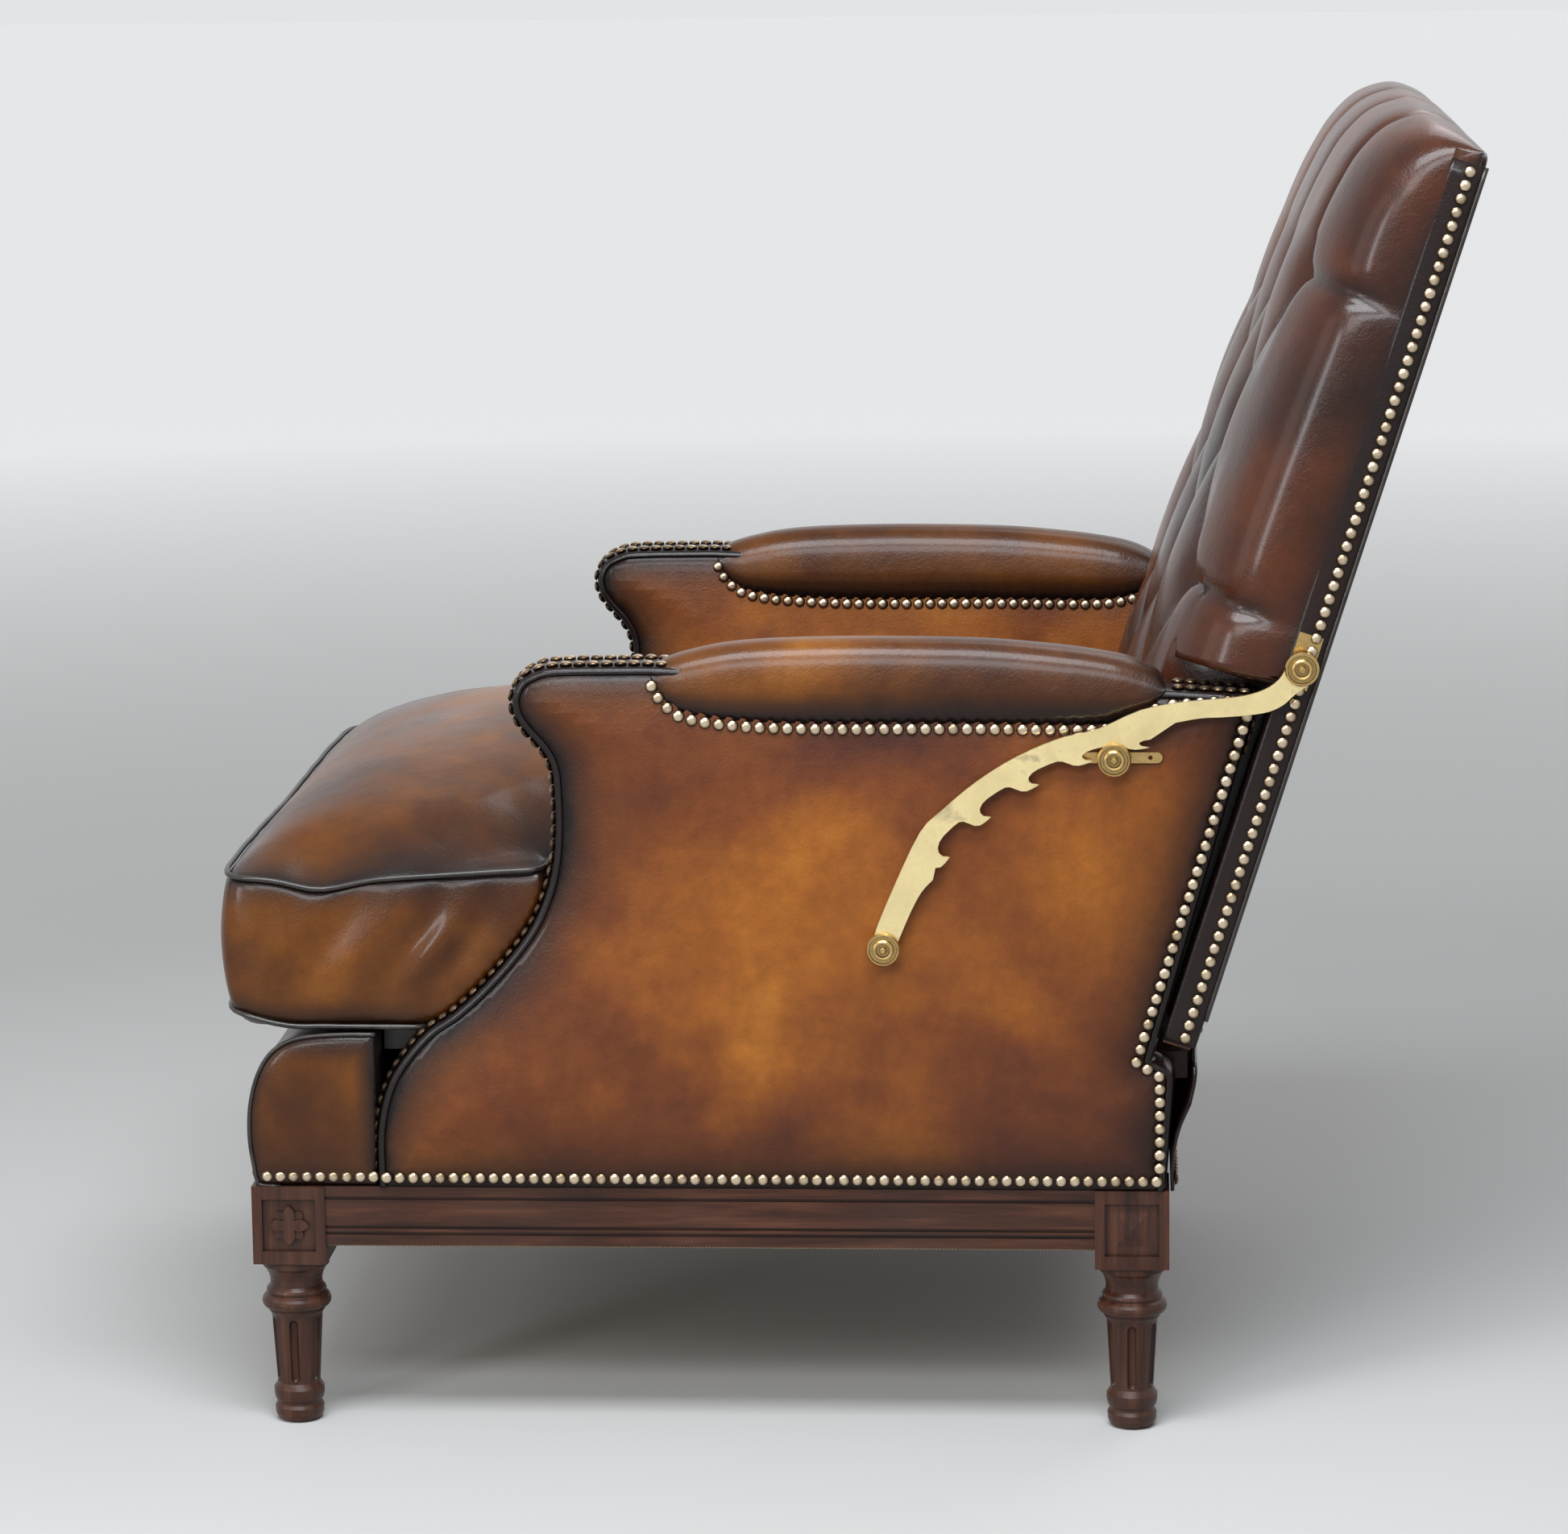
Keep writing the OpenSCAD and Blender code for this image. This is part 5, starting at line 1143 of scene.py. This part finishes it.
def rear_cover(nails):
    """The leather below the hinge on the rear, with its nails."""
    low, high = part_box("rear_panel")
    sample = np.array([v.co for v in frame["nodes"]["rear_panel"].data.vertices])
    heights = np.unique(sample[:, 2].round(5))
    levels = [sample[np.abs(sample[:, 2] - h) < 2e-4][:, 1] for h in heights]
    zs = np.linspace(low.z, high.z, 14)
    outer = np.interp(zs, heights, [max(y.max(), y.min() + 2 * MM) for y in levels])
    rings = []
    for x in np.linspace(low.x, high.x, 40):
        rise = 1.0 * MM * (1 - falloff(high.x - abs(x), 8 * MM))
        section = np.column_stack([outer + rise, zs]), np.column_stack([outer - 2.5 * MM, zs])[::-1]
        rings.append(at_x(x, np.vstack(section)))
    verts, faces = loft(rings)
    away = np.minimum.reduce([high.x - np.abs(verts[:, 0]), verts[:, 2] - low.z, high.z - verts[:, 2]])
    cover = hide("rear_cover", verts, faces, "frame", "dark", falloff(np.maximum(away, 0), 16 * MM), 0.7)
    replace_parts(cover, "rear_panel")
    y = np.interp(NAIL_ROW_Z, zs, outer) + 1 * MM
    reach = high.x - 6 * MM
    nails.row([(-reach, y, NAIL_ROW_Z), (reach, y, NAIL_ROW_Z)], (0, 1, 0))


def bottom_nails(nails):
    """The row along the rails on both sides and in front."""
    rear_end, front_half = 0.234, 0.315
    for side in SIDES.values():
        for x, y0, y1 in ((ROLL_HIGH.x + 0.8 * MM, ROLL_LOW.y + 12 * MM, ROLL_HIGH.y - 3 * MM),
                          (ARM_OUT_X - 0.5 * MM, ROLL_HIGH.y + 7 * MM, rear_end)):
            nails.row([(side * x, y0, NAIL_ROW_Z), (side * x, y1, NAIL_ROW_Z)], (side, 0, 0))
    y = ROLL_LOW.y + 1.5 * MM
    nails.row([(-front_half, y, NAIL_ROW_Z), (front_half, y, NAIL_ROW_Z)], (0, -1, 0))


# Strength of the world as a light, and as it is seen or mirrored, and its tone
SKY_LIGHT = 0.36
SKY_SEEN = 0.79
SKY_TONE = (0.965, 0.98, 1.0, 1)

# The floor's half width, its tone, and how it glows in the distance where it is seen or mirrored
FLOOR_SIZE = 30.0
FLOOR_TONE = (0.50, 0.495, 0.485, 1)
FLOOR_GLOW = 0.58
FLOOR_GLOW_STOPS = [(0.16, 0.0), (0.62, 1.0)]

# Lamps: place, target, size, watts and tone
AIM = (0, -0.1, 0.45)
LAMPS = {
    "overhead": ((1.15, -0.1, 2.05), AIM, (1.3, 0.6), 42, (0.90, 0.95, 1.0)),
    "camera_side": ((3.2, -1.4, 2.2), AIM, (1.0, 1.0), 27, (1.0, 0.98, 0.95)),
    "behind": ((-1.2, 0.9, 2.4), AIM, (1.6, 1.6), 18, (0.95, 0.97, 1.0)),
    "sheen": ((2.5, 0.1, 2.05), (0.3, 0.0, 0.45), (1.5, 0.5), 27, (0.86, 0.93, 1.0)),
    "front": ((1.2, -3.0, 1.5), AIM, (1.2, 1.8), 10, (1.0, 0.98, 0.95)),
    "window": ((2.7, -2.2, 1.25), (0.3, -0.3, 0.38), (0.4, 1.2), 24, (0.95, 0.97, 1.0)),
}

# The camera, fitted to the photograph: focal length and width in the photograph's pixels, place and axes
FOCAL_PIXELS, PHOTO_WIDTH = 6398, 1946
CAMERA_SENSOR = 36.0
CAMERA_PLACE = (4.022, 0.215, 1.174)
CAMERA_FORWARD = (-0.9818, -0.0671, -0.1779)
CAMERA_UP = (-0.1783, 0.0, 0.984)


def area_light(name, place, target, size, power, colour):
    """A rectangular lamp turned to its target."""
    data = bpy.data.lights.new(name, "AREA")
    data.shape = "RECTANGLE"
    data.size, data.size_y = size
    data.energy = power
    data.color = colour
    light = placed(name, data)
    light.location = place
    light.rotation_euler = (Vector(target) - Vector(place)).to_track_quat("-Z", "Y").to_euler()


def pale_floor():
    """The material of the floor: pale, and near to the background's tone far away."""
    m = Material("pale_floor")
    rays = m.add("LightPath").outputs
    mirrored = m.math("MAXIMUM", rays["Is Glossy Ray"], rays["Is Transmission Ray"])
    seen = m.math("MAXIMUM", rays["Is Camera Ray"], mirrored)
    away = m.add("VectorMath", {0: m.where}, operation="LENGTH").outputs["Value"]
    glow = m.times(m.times(m.ramp(m.times(away, 0.1), FLOOR_GLOW_STOPS), seen), FLOOR_GLOW)
    return m.shade({"Base Color": FLOOR_TONE, "Roughness": 0.75, "Specular IOR Level": 0.2,
                    "Emission Color": (0.97, 0.985, 1.0, 1), "Emission Strength": glow})


def stage():
    """Floor, soft studio light and the photograph's camera."""
    scene = bpy.context.scene
    floor = bpy.data.meshes.new("floor")
    corners = [(x * FLOOR_SIZE, y * FLOOR_SIZE, 0) for x, y in ((-1, -1), (1, -1), (1, 1), (-1, 1))]
    floor.from_pydata(corners, [], [(0, 1, 2, 3)])
    floor.materials.append(pale_floor())
    ground = placed("floor", floor)
    scene.world = bpy.data.worlds.new("studio")
    sky = Nodes(scene.world)
    rays = sky.add("LightPath").outputs
    strength = SKY_LIGHT
    for kind in ("Is Glossy Ray", "Is Transmission Ray", "Is Camera Ray"):
        strength = sky.add("Mix", {0: rays[kind], 2: strength, 3: SKY_SEEN}).outputs[0]
    background = sky.add("Background", {"Color": SKY_TONE, "Strength": strength})
    sky.add("OutputWorld", {"Surface": background.outputs[0]})
    for name, lamp in LAMPS.items():
        area_light(name, *lamp)
    data = bpy.data.cameras.new("camera")
    data.sensor_width = CAMERA_SENSOR
    data.lens = CAMERA_SENSOR * FOCAL_PIXELS / PHOTO_WIDTH
    camera = placed("camera", data)
    forward = Vector(CAMERA_FORWARD).normalized()
    right = forward.cross(Vector(CAMERA_UP)).normalized()
    turn = Matrix((right, right.cross(forward), -forward)).transposed().to_4x4()
    camera.matrix_world = Matrix.Translation(CAMERA_PLACE) @ turn
    scene.camera = camera
    scene.view_settings.view_transform = "Standard"


carry_over()
frame_nails = Nails("nails_frame", "frame")
back_nails = Nails("nails_back", "back")
arms(frame_nails)
front_roll()
seat_cushion()
surface = back_cover()
back_buttons(*surface)
back_sides(back_nails)
rear_cover(frame_nails)
bottom_nails(frame_nails)
frame_nails.finish()
back_nails.finish()
stage()
